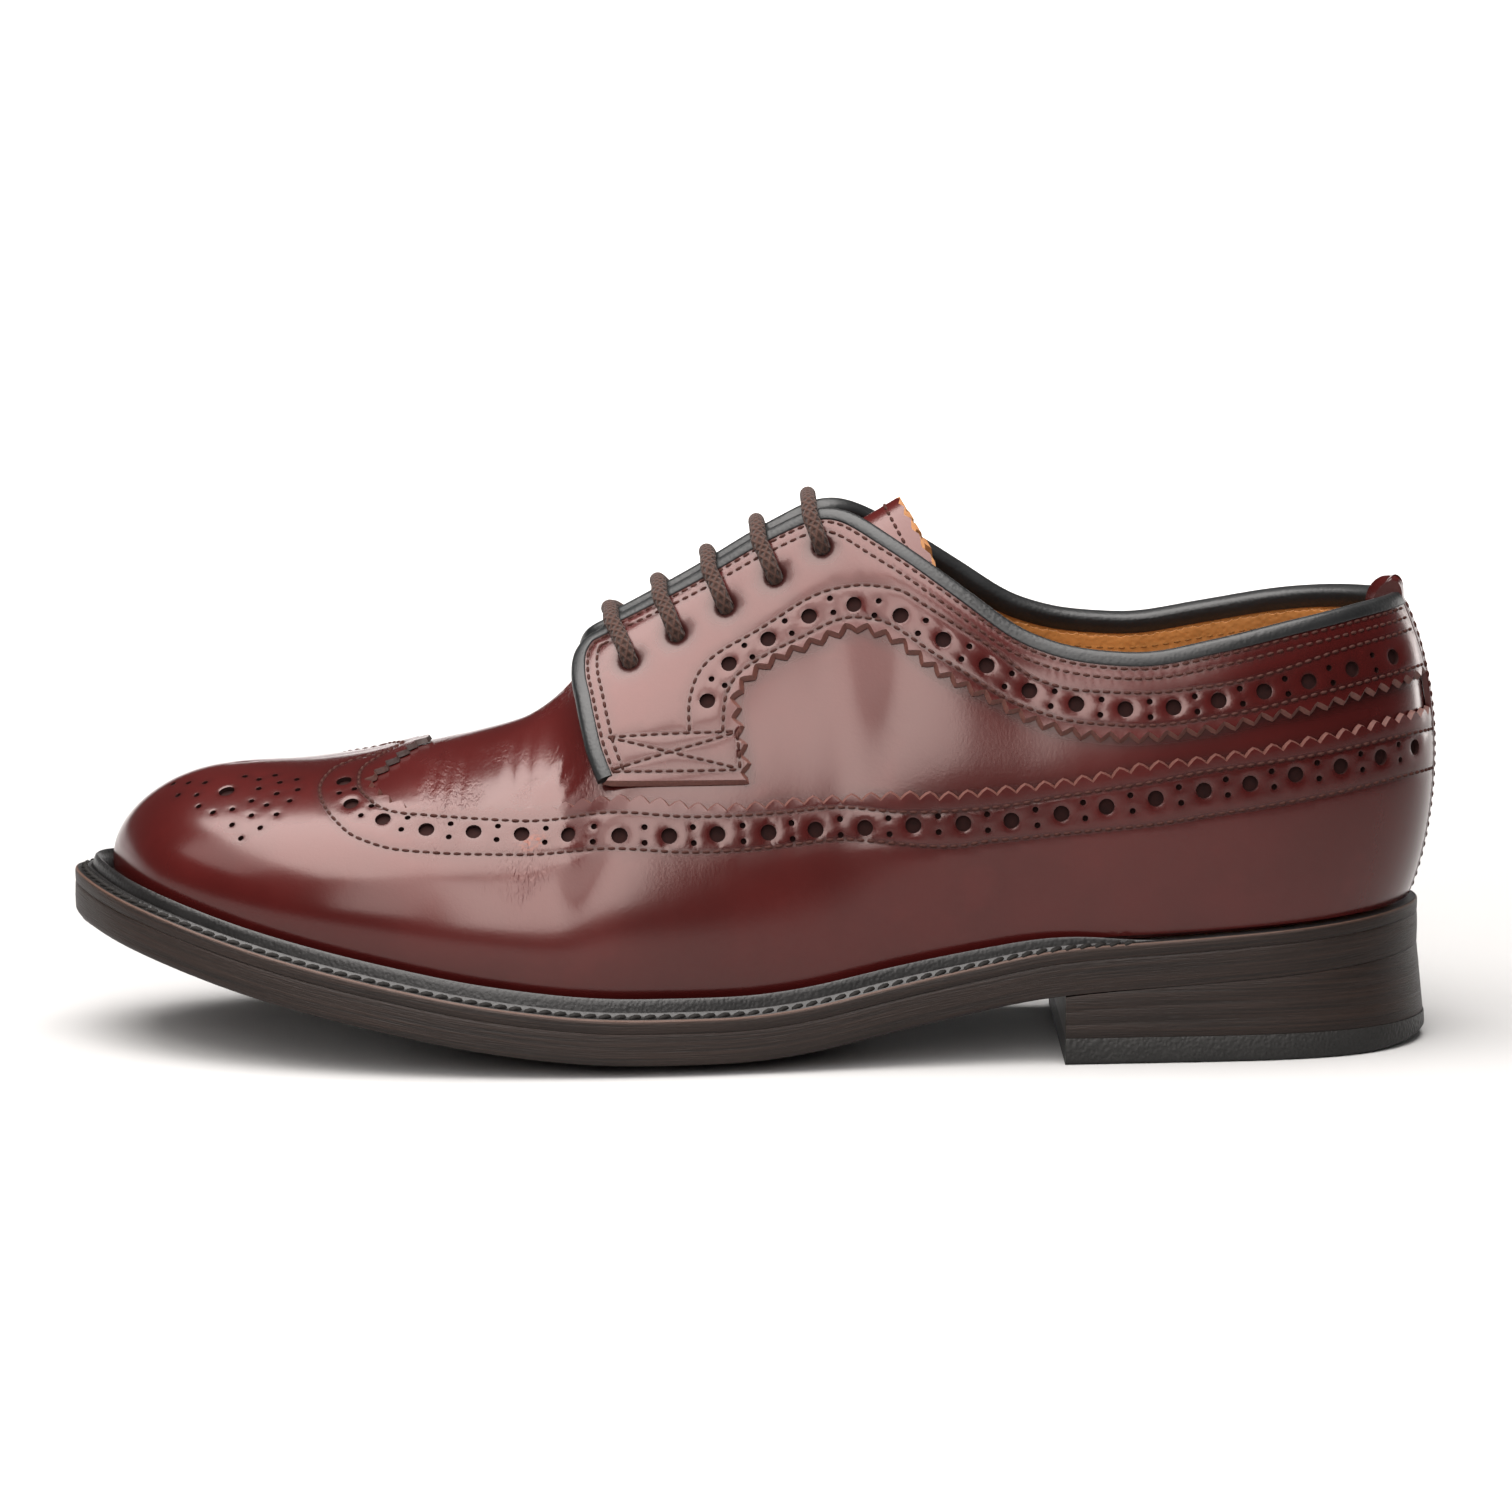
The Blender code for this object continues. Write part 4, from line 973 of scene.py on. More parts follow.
def shaded(colour, amount):
    return tuple(c * amount for c in colour)


def calf(name, colours):
    """Polished burgundy leather: clouded dye, fine pores, wrinkles and folds where it flexes, darkened by
    burnish and painted shade, bare where scuffed."""
    def paint(s):
        cloud = s.noise(22.0, 4.0)
        flex = s.field("flex") * s.noise(75.0, 2.0).between(0.38, 0.66)
        burnish_and_shade = s.field("burnish_and_shade")
        wrinkles = s.noise(1.0, 2.0, s.stretched((760.0, 430.0, 150.0)), 0.55)
        away = wrinkles - 0.5
        fold = 1.0 - away.maths("ABSOLUTE", away).between(0.0, 0.15)
        grain = s.pores(1500.0) * 0.5 + s.noise(2600.0, 2.0) * 0.5
        dye = cloud.between(0.35, 0.7).mix(shaded(colours.leather, 0.72), colours.leather)
        worn = s.noise(70.0, 3.0).between(0.58, 0.8) * 0.25
        dye = worn.mix(dye, shaded(colours.leather, 1.5))
        # Burnish and painted shade: darker near sewn rows, hole lips, eyelets and the edges of overlaid
        # panels
        dye = (burnish_and_shade * 0.85).clipped().mix(dye, shaded(colours.leather, 0.12))
        scuff = s.field("scuff") * s.noise(1.0, 4.0, s.stretched((900.0, 400.0, 1600.0))).between(0.42, 0.6)
        dye = (scuff * 0.6).clipped().mix(dye, (0.20, 0.050, 0.022))
        rough = 0.18 + cloud * 0.09 + flex * wrinkles * 0.16 + burnish_and_shade * 0.1 + scuff * 0.3
        height = grain * 0.25 + flex * wrinkles * 0.6 - flex * fold * 0.9 + s.noise(120.0, 2.0) * 0.5
        return {"Base Color": dye, "Roughness": rough, "Bump": (height, 0.00009)}
    return finish(name, paint, Coat_Weight=0.19, Coat_Roughness=0.14, Specular_IOR_Level=0.38,
                  Specular_Tint=(1.0, 0.74, 0.69, 1.0))


def raw_edge(name):
    """The cut edge of a panel: matt fibres, darker where the panel says so."""
    def paint(s):
        fibres = s.noise(1800.0, 3.0)
        dye = fibres.mix((0.030, 0.008, 0.006), (0.120, 0.038, 0.026))
        dye = (s.field("darker_edge") * 0.85).mix(dye, (0.010, 0.003, 0.002))
        return {"Base Color": dye, "Roughness": fibres * 0.2 + 0.5, "Bump": (fibres, 0.0001)}
    return finish(name, paint)


def tan_hide(name, colour):
    """Unpolished tan leather of the lining and sock."""
    def paint(s):
        cloud, grain = s.noise(45.0, 4.0), s.pores(900.0)
        dye = cloud.between(0.3, 0.75).mix(shaded(colour, 0.62), colour)
        dye = s.noise(600.0, 3.0).between(0.55, 0.8).mix(dye, shaded(colour, 0.7))
        return {"Base Color": dye, "Roughness": cloud * 0.2 + 0.45, "Bump": (grain + cloud, 0.00016)}
    return finish(name, paint)


def plain_hide(name, colour, rough, depth=0.0001, coat=0.0):
    """A dyed face with a light grain, for binding, welt, sole and the heel's rubber."""
    def paint(s):
        cloud, grain = s.noise(60.0, 4.0), s.pores(1300.0)
        dye = cloud.between(0.3, 0.8).mix(shaded(colour, 0.7), shaded(colour, 1.35))
        return {"Base Color": dye, "Roughness": cloud * 0.16 + (rough - 0.08), "Bump": (grain, depth)}
    return finish(name, paint, Coat_Weight=coat, Coat_Roughness=0.25, Specular_IOR_Level=0.34)


def sole_side(name, colour):
    """Trimmed and inked leather layers seen at the sole's edge: fine streaks along it, pale where worn."""
    def paint(s):
        along, up = s.field("along"), s.field("up")
        streak_place = s.node("ShaderNodeCombineXYZ", None, {"X": along * 0.018, "Y": up * 1.5})
        streaks = s.noise(1.0, 6.0, streak_place, 0.65)
        specks = s.noise(1.0, 3.0, s.node("ShaderNodeCombineXYZ", None, {"X": along * 0.25, "Y": up * 3.0}))
        cloud = s.noise(30.0, 3.0)
        dye = streaks.between(0.34, 0.68).mix(shaded(colour, 0.35), shaded(colour, 1.3))
        dye = (cloud.between(0.4, 0.75) * 0.5).mix(dye, shaded(colour, 0.7))
        dye = s.field("worn").clipped().mix(dye, shaded(colour, 7.5))
        height = streaks + specks * 0.6
        return {"Base Color": dye, "Roughness": streaks * 0.3 + 0.36, "Bump": (height, 0.00022)}
    return finish(name, paint, Specular_IOR_Level=0.25)


def yarn(name, colour, strands, pitch, depth):
    """Braided cotton: two sets of strands that cross round the cord."""
    def paint(s):
        spot = s.node("ShaderNodeUVMap", None, None)
        along = s.node("ShaderNodeSeparateXYZ", None, {0: spot}, 0) * (math.tau / pitch)
        around = s.node("ShaderNodeSeparateXYZ", None, {0: spot}, 1) * (math.tau * strands)
        one, two = [way.maths("SINE", way) for way in (around + along, around - along)]
        weave = one.maths("MAXIMUM", one, two)
        fuzz = s.noise(2500.0, 3.0)
        # Painted shade in the gaps between the strands and painted light on their crests, with random fuzz
        shade = (weave * 0.35 + fuzz * 0.6).clipped()
        dye = shade.mix(shaded(colour, 0.5), shaded(colour, 1.7))
        return {"Base Color": dye, "Roughness": fuzz * 0.1 + 0.8, "Bump": (weave + fuzz * 0.8, depth)}
    return finish(name, paint, Sheen_Weight=0.05, Specular_IOR_Level=0.25)


def thread(name, colour):
    """Waxed thread with a fine twist."""
    def paint(s):
        twist = s.noise(2200.0, 2.0)
        dye = twist.mix(shaded(colour, 0.5), shaded(colour, 1.6))
        return {"Base Color": dye, "Roughness": twist * 0.2 + 0.6, "Bump": (twist, 0.0001)}
    return finish(name, paint, Specular_IOR_Level=0.15)


def dark_floor(name):
    """Painted shade, with some dirt, inside a punched hole."""
    def paint(s):
        dirt_and_shade = s.noise(900.0, 2.0)
        dye = dirt_and_shade.mix((0.006, 0.002, 0.002), (0.020, 0.006, 0.005))
        return {"Base Color": dye, "Roughness": dirt_and_shade * 0.1 + 0.8}
    return finish(name, paint, Specular_IOR_Level=0.1)


def pale_ground(name, colour):
    """The floor: darker towards the front, glowing far from the shoe."""
    def paint(s):
        cloud = s.noise(3.0, 2.0)
        depth = s.node("ShaderNodeSeparateXYZ", None, {0: s.place()}, 1)
        far = s.node("ShaderNodeVectorMath", {"operation": "LENGTH"}, {0: s.place()}, "Value")
        pale = cloud.mix(shaded(colour, 0.98), colour)
        pale = depth.between(-0.62, -0.39).mix(shaded(colour, 0.5), pale)
        glow = far.between(0.7, 1.6).mix((0.0, 0.0, 0.0), (0.6, 0.6, 0.6))
        return {"Base Color": pale, "Roughness": cloud * 0.1 + 0.6, "Emission Color": glow}
    return finish(name, paint, Emission_Strength=1.0)


# Settings

def length_setting(name, description, default, low, high):
    """A size in metres."""
    return bpy.props.FloatProperty(
        name=name, description=description, default=default, min=low, max=high, unit="LENGTH",
        subtype="DISTANCE", precision=5)


def colour_setting(name, description, default):
    return bpy.props.FloatVectorProperty(
        name=name, description=description, default=default, subtype="COLOR", size=3)


class DerbySizes(bpy.types.PropertyGroup):
    """Sizes of the dressing."""
    stitch_pitch: length_setting("Stitch pitch", "Length of one stitch with its gap", 0.0023, 0.001, 0.005)
    stitch_radius: length_setting(
        "Thread radius", "Half the thickness of the upper's thread", 0.00040, 0.0001, 0.001)
    hole_radius: length_setting("Hole radius", "Large punched holes", 0.0018, 0.0005, 0.003)
    pin_radius: length_setting("Pin hole radius", "Small punched holes", 0.00068, 0.0003, 0.0015)
    gimp_pitch: length_setting("Gimp pitch", "Width of one tooth of a toothed edge", 0.0043, 0.002, 0.008)
    gimp_depth: length_setting("Gimp depth", "Depth of a toothed edge", 0.0017, 0.0005, 0.003)
    eyelet_radius: length_setting("Eyelet radius", "Holes that the lace runs through", 0.002, 0.001, 0.003)
    lace_radius: length_setting("Lace radius", "Half the lace's thickness", 0.00185, 0.0008, 0.003)
    welt_pitch: length_setting("Welt stitch pitch", "Length of one stitch of the welt", 0.0033, 0.0015, 0.006)


class DerbyColours(bpy.types.PropertyGroup):
    """Colours of the dressing."""
    leather: colour_setting("Leather", "Burgundy calf", (0.045, 0.0050, 0.0046))
    lining: colour_setting("Lining", "Tan lining and sock", (0.420, 0.170, 0.040))
    binding: colour_setting("Binding", "Bound edges", (0.0075, 0.0080, 0.0085))
    thread: colour_setting("Thread", "The upper's stitching", (0.032, 0.0095, 0.0068))
    welt: colour_setting("Welt", "Storm welt", (0.0055, 0.0050, 0.0050))
    welt_thread: colour_setting("Welt thread", "Stitching of the welt", (0.008, 0.0072, 0.0066))
    sole: colour_setting("Sole", "Edge of sole and heel", (0.0140, 0.0074, 0.0052))
    lace: colour_setting("Lace", "Round cotton lace", (0.034, 0.0150, 0.0105))
    ground: colour_setting("Ground", "Floor of the stage", (0.37, 0.37, 0.37))


class Dressing:
    """Materials and lines that several pieces share, made once."""

    def __init__(self, scene):
        sizes = scene.derby_sizes
        names = DerbySizes.__annotations__
        self.sizes = SimpleNamespace(**{name: getattr(sizes, name) / MM for name in names})
        self.set_finishes(scene.derby_colours)
        self.creases = Creases()
        self.set_lines()

    def set_finishes(self, colours):
        self.calf = calf("burgundy_calf", colours)
        self.edge = raw_edge("burgundy_cut_edge")
        self.lining = tan_hide("tan_lining", colours.lining)
        self.flesh = tan_hide("tan_cut_edge", tuple(c * 1.1 + 0.04 for c in colours.lining))
        self.binding = plain_hide("black_binding", colours.binding, 0.44, 0.00008, 0.07)
        self.thread = thread("burgundy_thread", colours.thread)
        self.tan_thread = thread("tan_thread", shaded(colours.lining, 0.4))
        self.welt = plain_hide("black_welt", colours.welt, 0.42, 0.0001, 0.06)
        self.welt_thread = thread("grey_welt_thread", colours.welt_thread)
        self.sole_side = sole_side("inked_sole_edge", colours.sole)
        self.sole_face = plain_hide("sole_leather_face", shaded(colours.sole, 3.6), 0.45, 0.0001)
        self.rubber = plain_hide("heel_rubber", (0.008, 0.0075, 0.007), 0.6, 0.0002)
        self.lace = yarn("braided_lace", colours.lace, 6, 2.2, 0.00025)
        self.dark = dark_floor("hole_shadow")

    def set_lines(self):
        """Edges, holes and eyelets on the outer side, as chart points."""
        sizes = self.sizes
        self.wing_edge = self.to_strip(trace(WING_EDGE))
        peak = np.array([[float(LAST.place_of(WING_PEAK_X, True)), 1.0]])
        self.wing_edge = even(np.concatenate((self.wing_edge, peak)), LINE_STEP)
        self.collar_edge = self.to_strip(trace(COLLAR_EDGE, True))
        rows = from_photo(FACING_FRONT, True)
        rows[-1, 1] = 1.0
        self.front = even(smooth_line(rows, LINE_ROUND), LINE_STEP, True)
        self.front = even(beside(self.front, -BINDING_OUT, True), LINE_STEP, True)
        self.front[-1, 1] = 1.0
        self.wing_holes = hole_band(WING_HOLES, False, sizes.hole_radius, sizes.pin_radius, WING_PINS)
        self.wing_holes += [(spot, sizes.pin_radius) for spot in from_photo(MEDALLION)]
        self.wing_holes += [(spot, sizes.hole_radius) for spot in from_photo(MEDALLION_LARGE)]
        self.collar_holes = hole_band(COLLAR_HOLES, True, sizes.hole_radius, sizes.pin_radius, COLLAR_PINS)
        self.eyelets = from_photo(EYELET_HOLES, True)

    @staticmethod
    def to_strip(line):
        """The line, started on the back strip's edge."""
        line = line[line[:, 0] > strip_half(line[:, 1]) + STRIP_PLAY]
        height = line[0, 1] + (line[0, 1] - line[8, 1]) * 0.2
        return np.concatenate(([[strip_half(height) + STRIP_PLAY, height]], line))


DRESSING = {}


def dressing(context):
    """The one Dressing that all operators share."""
    if "made" not in DRESSING:
        DRESSING["made"] = Dressing(context.scene)
    return DRESSING["made"]


def groove_rows(lines, facing):
    """Rows of points on and beside sewn lines, so that a panel can sink along them."""
    rows = []
    for line in lines:
        for aside in (-GROOVE_ASIDE, 0.0, GROOVE_ASIDE):
            rows.append(even(beside(line, aside, facing), GROOVE_STEP, facing))
    return rows


def bevelled(chart, outline, cut, facing):
    """Chart points of a panel's underside, which reaches past its face along the cut part of its outline."""
    moved = beside(outline, FACING_BEVEL if facing else WING_BEVEL, facing) - outline
    if inside((outline + moved)[cut] * CHART_MM, outline * CHART_MM).mean() > 0.5:
        moved = -moved
    moved[~cut] = 0
    far, number = flat_nearest(chart * CHART_MM, outline * CHART_MM)
    return chart + np.where(far[:, None] < 1e-3, moved[number], 0.0)


def burnish_and_shade_at(far, kind):
    """Burnish and painted shade at this distance from where they are darkest."""
    amount, wide = kind
    return amount * bell(far, wide)


def panel_piece(name, made, outline, cut, holes, sewn_lines, facing, ridge, eyelets):
    """A punched leather panel that sinks along its sewn lines, at the lips of its holes and round its
    eyelets, with painted shade and some dirt on the walls of its holes."""
    rows = groove_rows(sewn_lines, facing)
    for grow, more in LIP_RINGS:
        rows += [ring_at(centre, grow * radius + more, facing) for centre, radius in holes]
    chart, faces = cut_panel(outline, holes, rows, facing, PANEL_STEP)
    under = bevelled(chart, outline, cut, facing)
    flat = LAST.point(*chart.T, facing)
    from_row = nearest(flat, np.concatenate([LAST.point(*line.T, facing) for line in sewn_lines]))[0]
    from_hole, radius = from_holes(flat, holes, facing)
    from_rim = from_hole - radius
    off_rim = np.maximum(from_rim, 0)
    top = SEAM + OVERLAY - GROOVE_DEEP * bell(from_row, GROOVE_WIDE)
    top = top - LIP_DEEP * radius * bell(off_rim, LIP_WIDE)
    # Burnish and painted shade along sewn rows and round hole lips, painted shade round eyelets
    burnish_and_shade = burnish_and_shade_at(from_row, ROW_BURNISH_AND_SHADE) + burnish_and_shade_at(off_rim, HOLE_BURNISH_AND_SHADE)
    if len(eyelets):
        from_eyelet = nearest(flat, eyelets)[0]
        top = top - DENT_DEEP * bell(from_eyelet, DENT_WIDE)
        off_eyelet = np.maximum(from_eyelet - made.sizes.eyelet_radius, 0)
        burnish_and_shade = np.maximum(burnish_and_shade, burnish_and_shade_at(off_eyelet, EYELET_SHADE))
    sunk, flex = made.creases.sink(flat)
    sink_share, flex_share = (0.0, 0.15) if facing else (0.5, 0.9)
    top = top - sunk * sink_share
    points, polygons, slots, source = thick_panel(chart, under, faces, top, SEAM, facing, ridge)
    scuff = np.zeros(len(flat))
    for wide, pixel in SCUFFS:
        spot = LAST.point(*from_photo([pixel])[0])
        scuff = np.maximum(scuff, bell(np.linalg.norm(flat - spot, axis=1), wide))
    darker_edge = np.zeros(len(flat)) if facing else np.clip((chart[:, 1] - DARK_EDGE_FROM) / DARK_EDGE_RUN, 0, 1)
    fields = {"burnish_and_shade": np.clip(burnish_and_shade, 0, 1), "flex": flex * flex_share, "scuff": scuff, "darker_edge": darker_edge}
    fields = {field: values[source] for field, values in fields.items()}
    # Walls of the holes take the painted shade and dirt
    at_rim = from_rim[source] < 0.1
    slots = [2 if slot and at_rim[face].all() else slot for slot, face in zip(slots, polygons)]
    return add_mesh(name, points, polygons, (made.calf, made.edge, made.dark), slots, fields)


def hole_floors(name, made, holes, facing):
    """Discs of painted shade under punched holes, as one mesh."""
    sides, grow, lifts = 10, 1.12, (0.08, 0.24)
    points, faces = [], []
    for centre, radius in holes:
        ring = ring_at(centre, radius * grow, facing, sides)
        first = len(points)
        for lift in lifts:
            points += LAST.lifted(*ring.T, lift, facing).tolist()
        low, high = first + np.arange(2 * sides).reshape(2, sides)
        faces += [low.tolist(), high.tolist()]
        faces += np.column_stack((low, np.roll(low, -1), np.roll(high, -1), high)).tolist()
    return add_mesh(name, points, faces, (made.dark,), sharp=0.7)


def holes_and_stitches(name, made, holes, lines, facing):
    """The floors of a panel's holes and the stitches along its sewn lines."""
    floors = hole_floors(f"{name}_hole_floors", made, holes, facing)
    seat(floors, "burgundy_leather")
    lift = SEAM + OVERLAY - STITCH_SUNK
    stitches = [stitch_points(line, made.sizes.stitch_pitch, facing, lift) for line in lines]
    sewing = sewn(f"{name}_stitches", stitches, STITCH_LONG, made.sizes.stitch_radius, (made.thread,))
    seat(sewing, "burgundy_leather")


def shell_places(columns):
    """Places once round the last, closer where the vamp flexes, with a pair on the throat."""
    even_share = np.linspace(0, 1, 2001)
    density = 1.0 + 1.2 * bell(even_share - 0.72, 0.11) + 0.8 * bell(even_share - 1, 0.06)
    share = np.insert(np.cumsum((density[1:] + density[:-1]) / 2), 0, 0.0)
    half = np.interp(np.linspace(0, share[-1], columns + 1), share, even_share)
    half[np.argmin(np.abs(half - LAST.throat))] = LAST.throat
    return np.concatenate((half, 2 - half[-2:0:-1]))


def closed_shell(places, heights, outer, inner):
    """Points and faces of a wall round the last between two lifts, joined along the ridge. Where its columns
    run together in one point, at the toe and heel, they share it."""
    count, rows = len(places), len(heights)
    place, height = np.meshgrid(places, heights, indexing="ij")
    points = np.stack([LAST.lifted(place, height, lift) for lift in (inner, outer)])
    number = np.arange(2 * count * rows).reshape(2, count, rows)
    joined = np.abs(places - 1) < 1 - LAST.throat + 1e-6
    if heights[-1] < 1:
        joined[:] = False
    for j in np.flatnonzero(joined & (places <= 1)):
        other = int(np.argmin(np.abs(places - (2 - places[j]))))
        points[:, j, -1] = (points[:, j, -1] + points[:, other, -1]) / 2
        number[:, other, -1] = number[:, j, -1]
    number = np.concatenate((number, number[:, :1]), axis=1)
    joined = np.append(joined, joined[0])
    open_top = ~(joined[:-1] & joined[1:])
    faces = np.concatenate((cells(number[0]), cells(number[1]), cells(number[:, :, 0]),
                            cells(number[:, :, -1])[open_top]))
    points = points.reshape(-1, 3)
    _, first, same = np.unique(points.round(3), axis=0, return_index=True, return_inverse=True)
    faces = first[same.ravel()][faces].tolist()
    faces = [[corner for k, corner in enumerate(face) if corner != face[k - 1]] for face in faces]
    faces = [face for face in faces if len(face) > 2]
    used, faces = compact(faces)
    return points[used], faces, used


class DERBY_OT_stage(bpy.types.Operator):
    """Make the floor, the lights and the camera"""
    bl_idname = "derby.stage"
    bl_label = "Stage"

    def execute(self, context):
        ground = pale_ground("pale_ground", context.scene.derby_colours.ground)
        half, back, front, bend, high = 20000.0, 2400.0, -20000.0, 260.0, 420.0     # mm
        profile = [(front, 0.0), (back - bend, 0.0)]
        for angle in np.linspace(0, np.pi / 2, 17)[1:]:
            profile.append((back - bend + bend * math.sin(angle), bend - bend * math.cos(angle)))
        profile.append((back, high))
        points = [(x, y, z) for x in (-half, half) for y, z in profile]
        size = len(profile)
        faces = [(k, k + 1, size + k + 1, size + k) for k in range(size - 1)]
        mesh = bpy.data.meshes.new("floor")
        mesh.from_pydata((np.array(points) * MM).tolist(), [], faces)
        mesh.materials.append(ground)
        mesh.shade_smooth()
        floor = add_object("floor", mesh)

        lamp_colour, sky = (1.0, 0.965, 0.94), 0.05
        lamps = (       # name, watts, then width, depth, place and aim in metres
            ("overhead", 58.0, 1.4, 1.32, (-0.20, -0.26, 1.20), (-0.20, -0.26, 0.0)),
            ("front", 7.0, 0.37, 0.70, (-0.055, -0.922, 0.553), (-0.055, 0.0, 0.07)),
            ("left fill", 3.4, 0.34, 0.7, (-0.44, -0.86, 0.62), (-0.02, 0.0, 0.07)),
            ("left", 1.9, 0.5, 0.42, (-0.84, -0.24, 0.78), (-0.06, -0.02, 0.06)),
            ("backdrop", 130.0, 4.0, 0.9, (0.0, 1.0, 1.0), (0.0, 1.72, 0.31)),
            ("right", 2.2, 0.3, 0.5, (1.05, 0.75, 0.25), (0.1, 0.0, 0.06)))
        for name, power, wide, deep, place, aim in lamps:
            data = bpy.data.lights.new(name, "AREA")
            data.shape, data.size, data.size_y, data.energy = "RECTANGLE", wide, deep, power
            data.color = lamp_colour
            lamp = add_object(name, data)
            lamp.location = place
            lamp.rotation_euler = (Vector(aim) - Vector(place)).to_track_quat("-Z", "Y").to_euler()

        world = bpy.data.worlds.new("studio")
        world.use_nodes = True
        glow = world.node_tree.nodes["Background"].inputs
        glow["Color"].default_value = (1.0, 1.0, 1.0, 1.0)
        glow["Strength"].default_value = sky
        context.scene.world = world
        context.scene.view_settings.view_transform = "Standard"

        data = bpy.data.cameras.new("camera")
        data.lens, data.sensor_width = LENS, SENSOR
        camera = add_object("camera", data)
        aim = Vector(VIEW_AIM * MM)
        away = Vector((0.0, -math.cos(VIEW_TILT), math.sin(VIEW_TILT))) * VIEW_FAR * MM
        camera.location = aim + away
        camera.rotation_euler = (-away).to_track_quat("-Z", "Y").to_euler()
        context.scene.camera = camera
        return {"FINISHED"}


class DERBY_OT_lacing(bpy.types.Operator):
    """Run one round lace in straight bars through the five pairs of eyelets"""
    bl_idname = "derby.lacing"
    bl_label = "Lacing"

    def execute(self, context):
        made = dressing(context)
        radius = made.sizes.lace_radius
        clear, sunk, past_edge = 0.15, 1.6, 2.7     # over the facing, under its lining, past its edge
        lift = SEAM + OVERLAY + clear + radius
        under = -WALL - sunk - radius
        edge_x = np.linspace(*EYELET_RUN, EYELETS)
        sides = {}
        for number, (eyelet, along) in enumerate(zip(made.eyelets, edge_x)):
            for side, turn in SIDES:
                hole, edge = turn(np.array((eyelet, (float(LAST.place_of(along)), 1.0))))
                middle = hole * 0.5 + edge * 0.5
                near = hole * 0.84 + edge * 0.16
                rising = unit(LAST.point(*edge, True) - LAST.point(edge[0], 0.97, True))
                across = LAST.normal(*edge, True)
                top = LAST.point(*edge, True) + rising * (past_edge + radius) + across * 0.4 * lift
                climb = ((hole, -1.2), (hole, 0.9), (near, lift - 0.35), (middle, lift),
                         (middle * 0.4 + edge * 0.6, lift + 0.1))
                over = [LAST.lifted(*spot, high, True) for spot, high in climb]
                sides[side, number + 1] = {"under": LAST.lifted(*hole, under, True), "over": over + [top]}

        def bar(number, start):
            end = "inner" if start == "outer" else "outer"
            first, last = sides[start, number], sides[end, number]
            return [first["under"]] + first["over"] + last["over"][::-1] + [last["under"]]

        def below(side, start, end):
            a, b = sides[side, start]["under"], sides[side, end]["under"]
            inward = np.array((0.0, 1.0 if side == "outer" else -1.0, -0.6))
            return [a * 0.75 + b * 0.25 + inward, (a + b) / 2 + inward * 1.3, a * 0.25 + b * 0.75 + inward]

        route = bar(4, "outer") + below("inner", 4, 2) + bar(2, "inner") + below("outer", 2, 1)
        route += bar(1, "outer") + below("inner", 1, 3) + bar(3, "inner") + below("outer", 3, 5)
        route += bar(5, "outer")
        path = smooth_line(route, 10)
        length, step = run_length(path), 0.7
        path = at_lengths(np.linspace(0, length[-1], int(length[-1] / step)), length, path)
        points, faces, corners = tube(swept(path, radius, 16))
        lace = add_mesh("lace", points, faces, (made.lace,), corners=corners, sharp=1.2)
        seat(lace, "lace_cotton", *[f"lace_bar_{k}" for k in range(1, EYELETS + 1)])
        return {"FINISHED"}


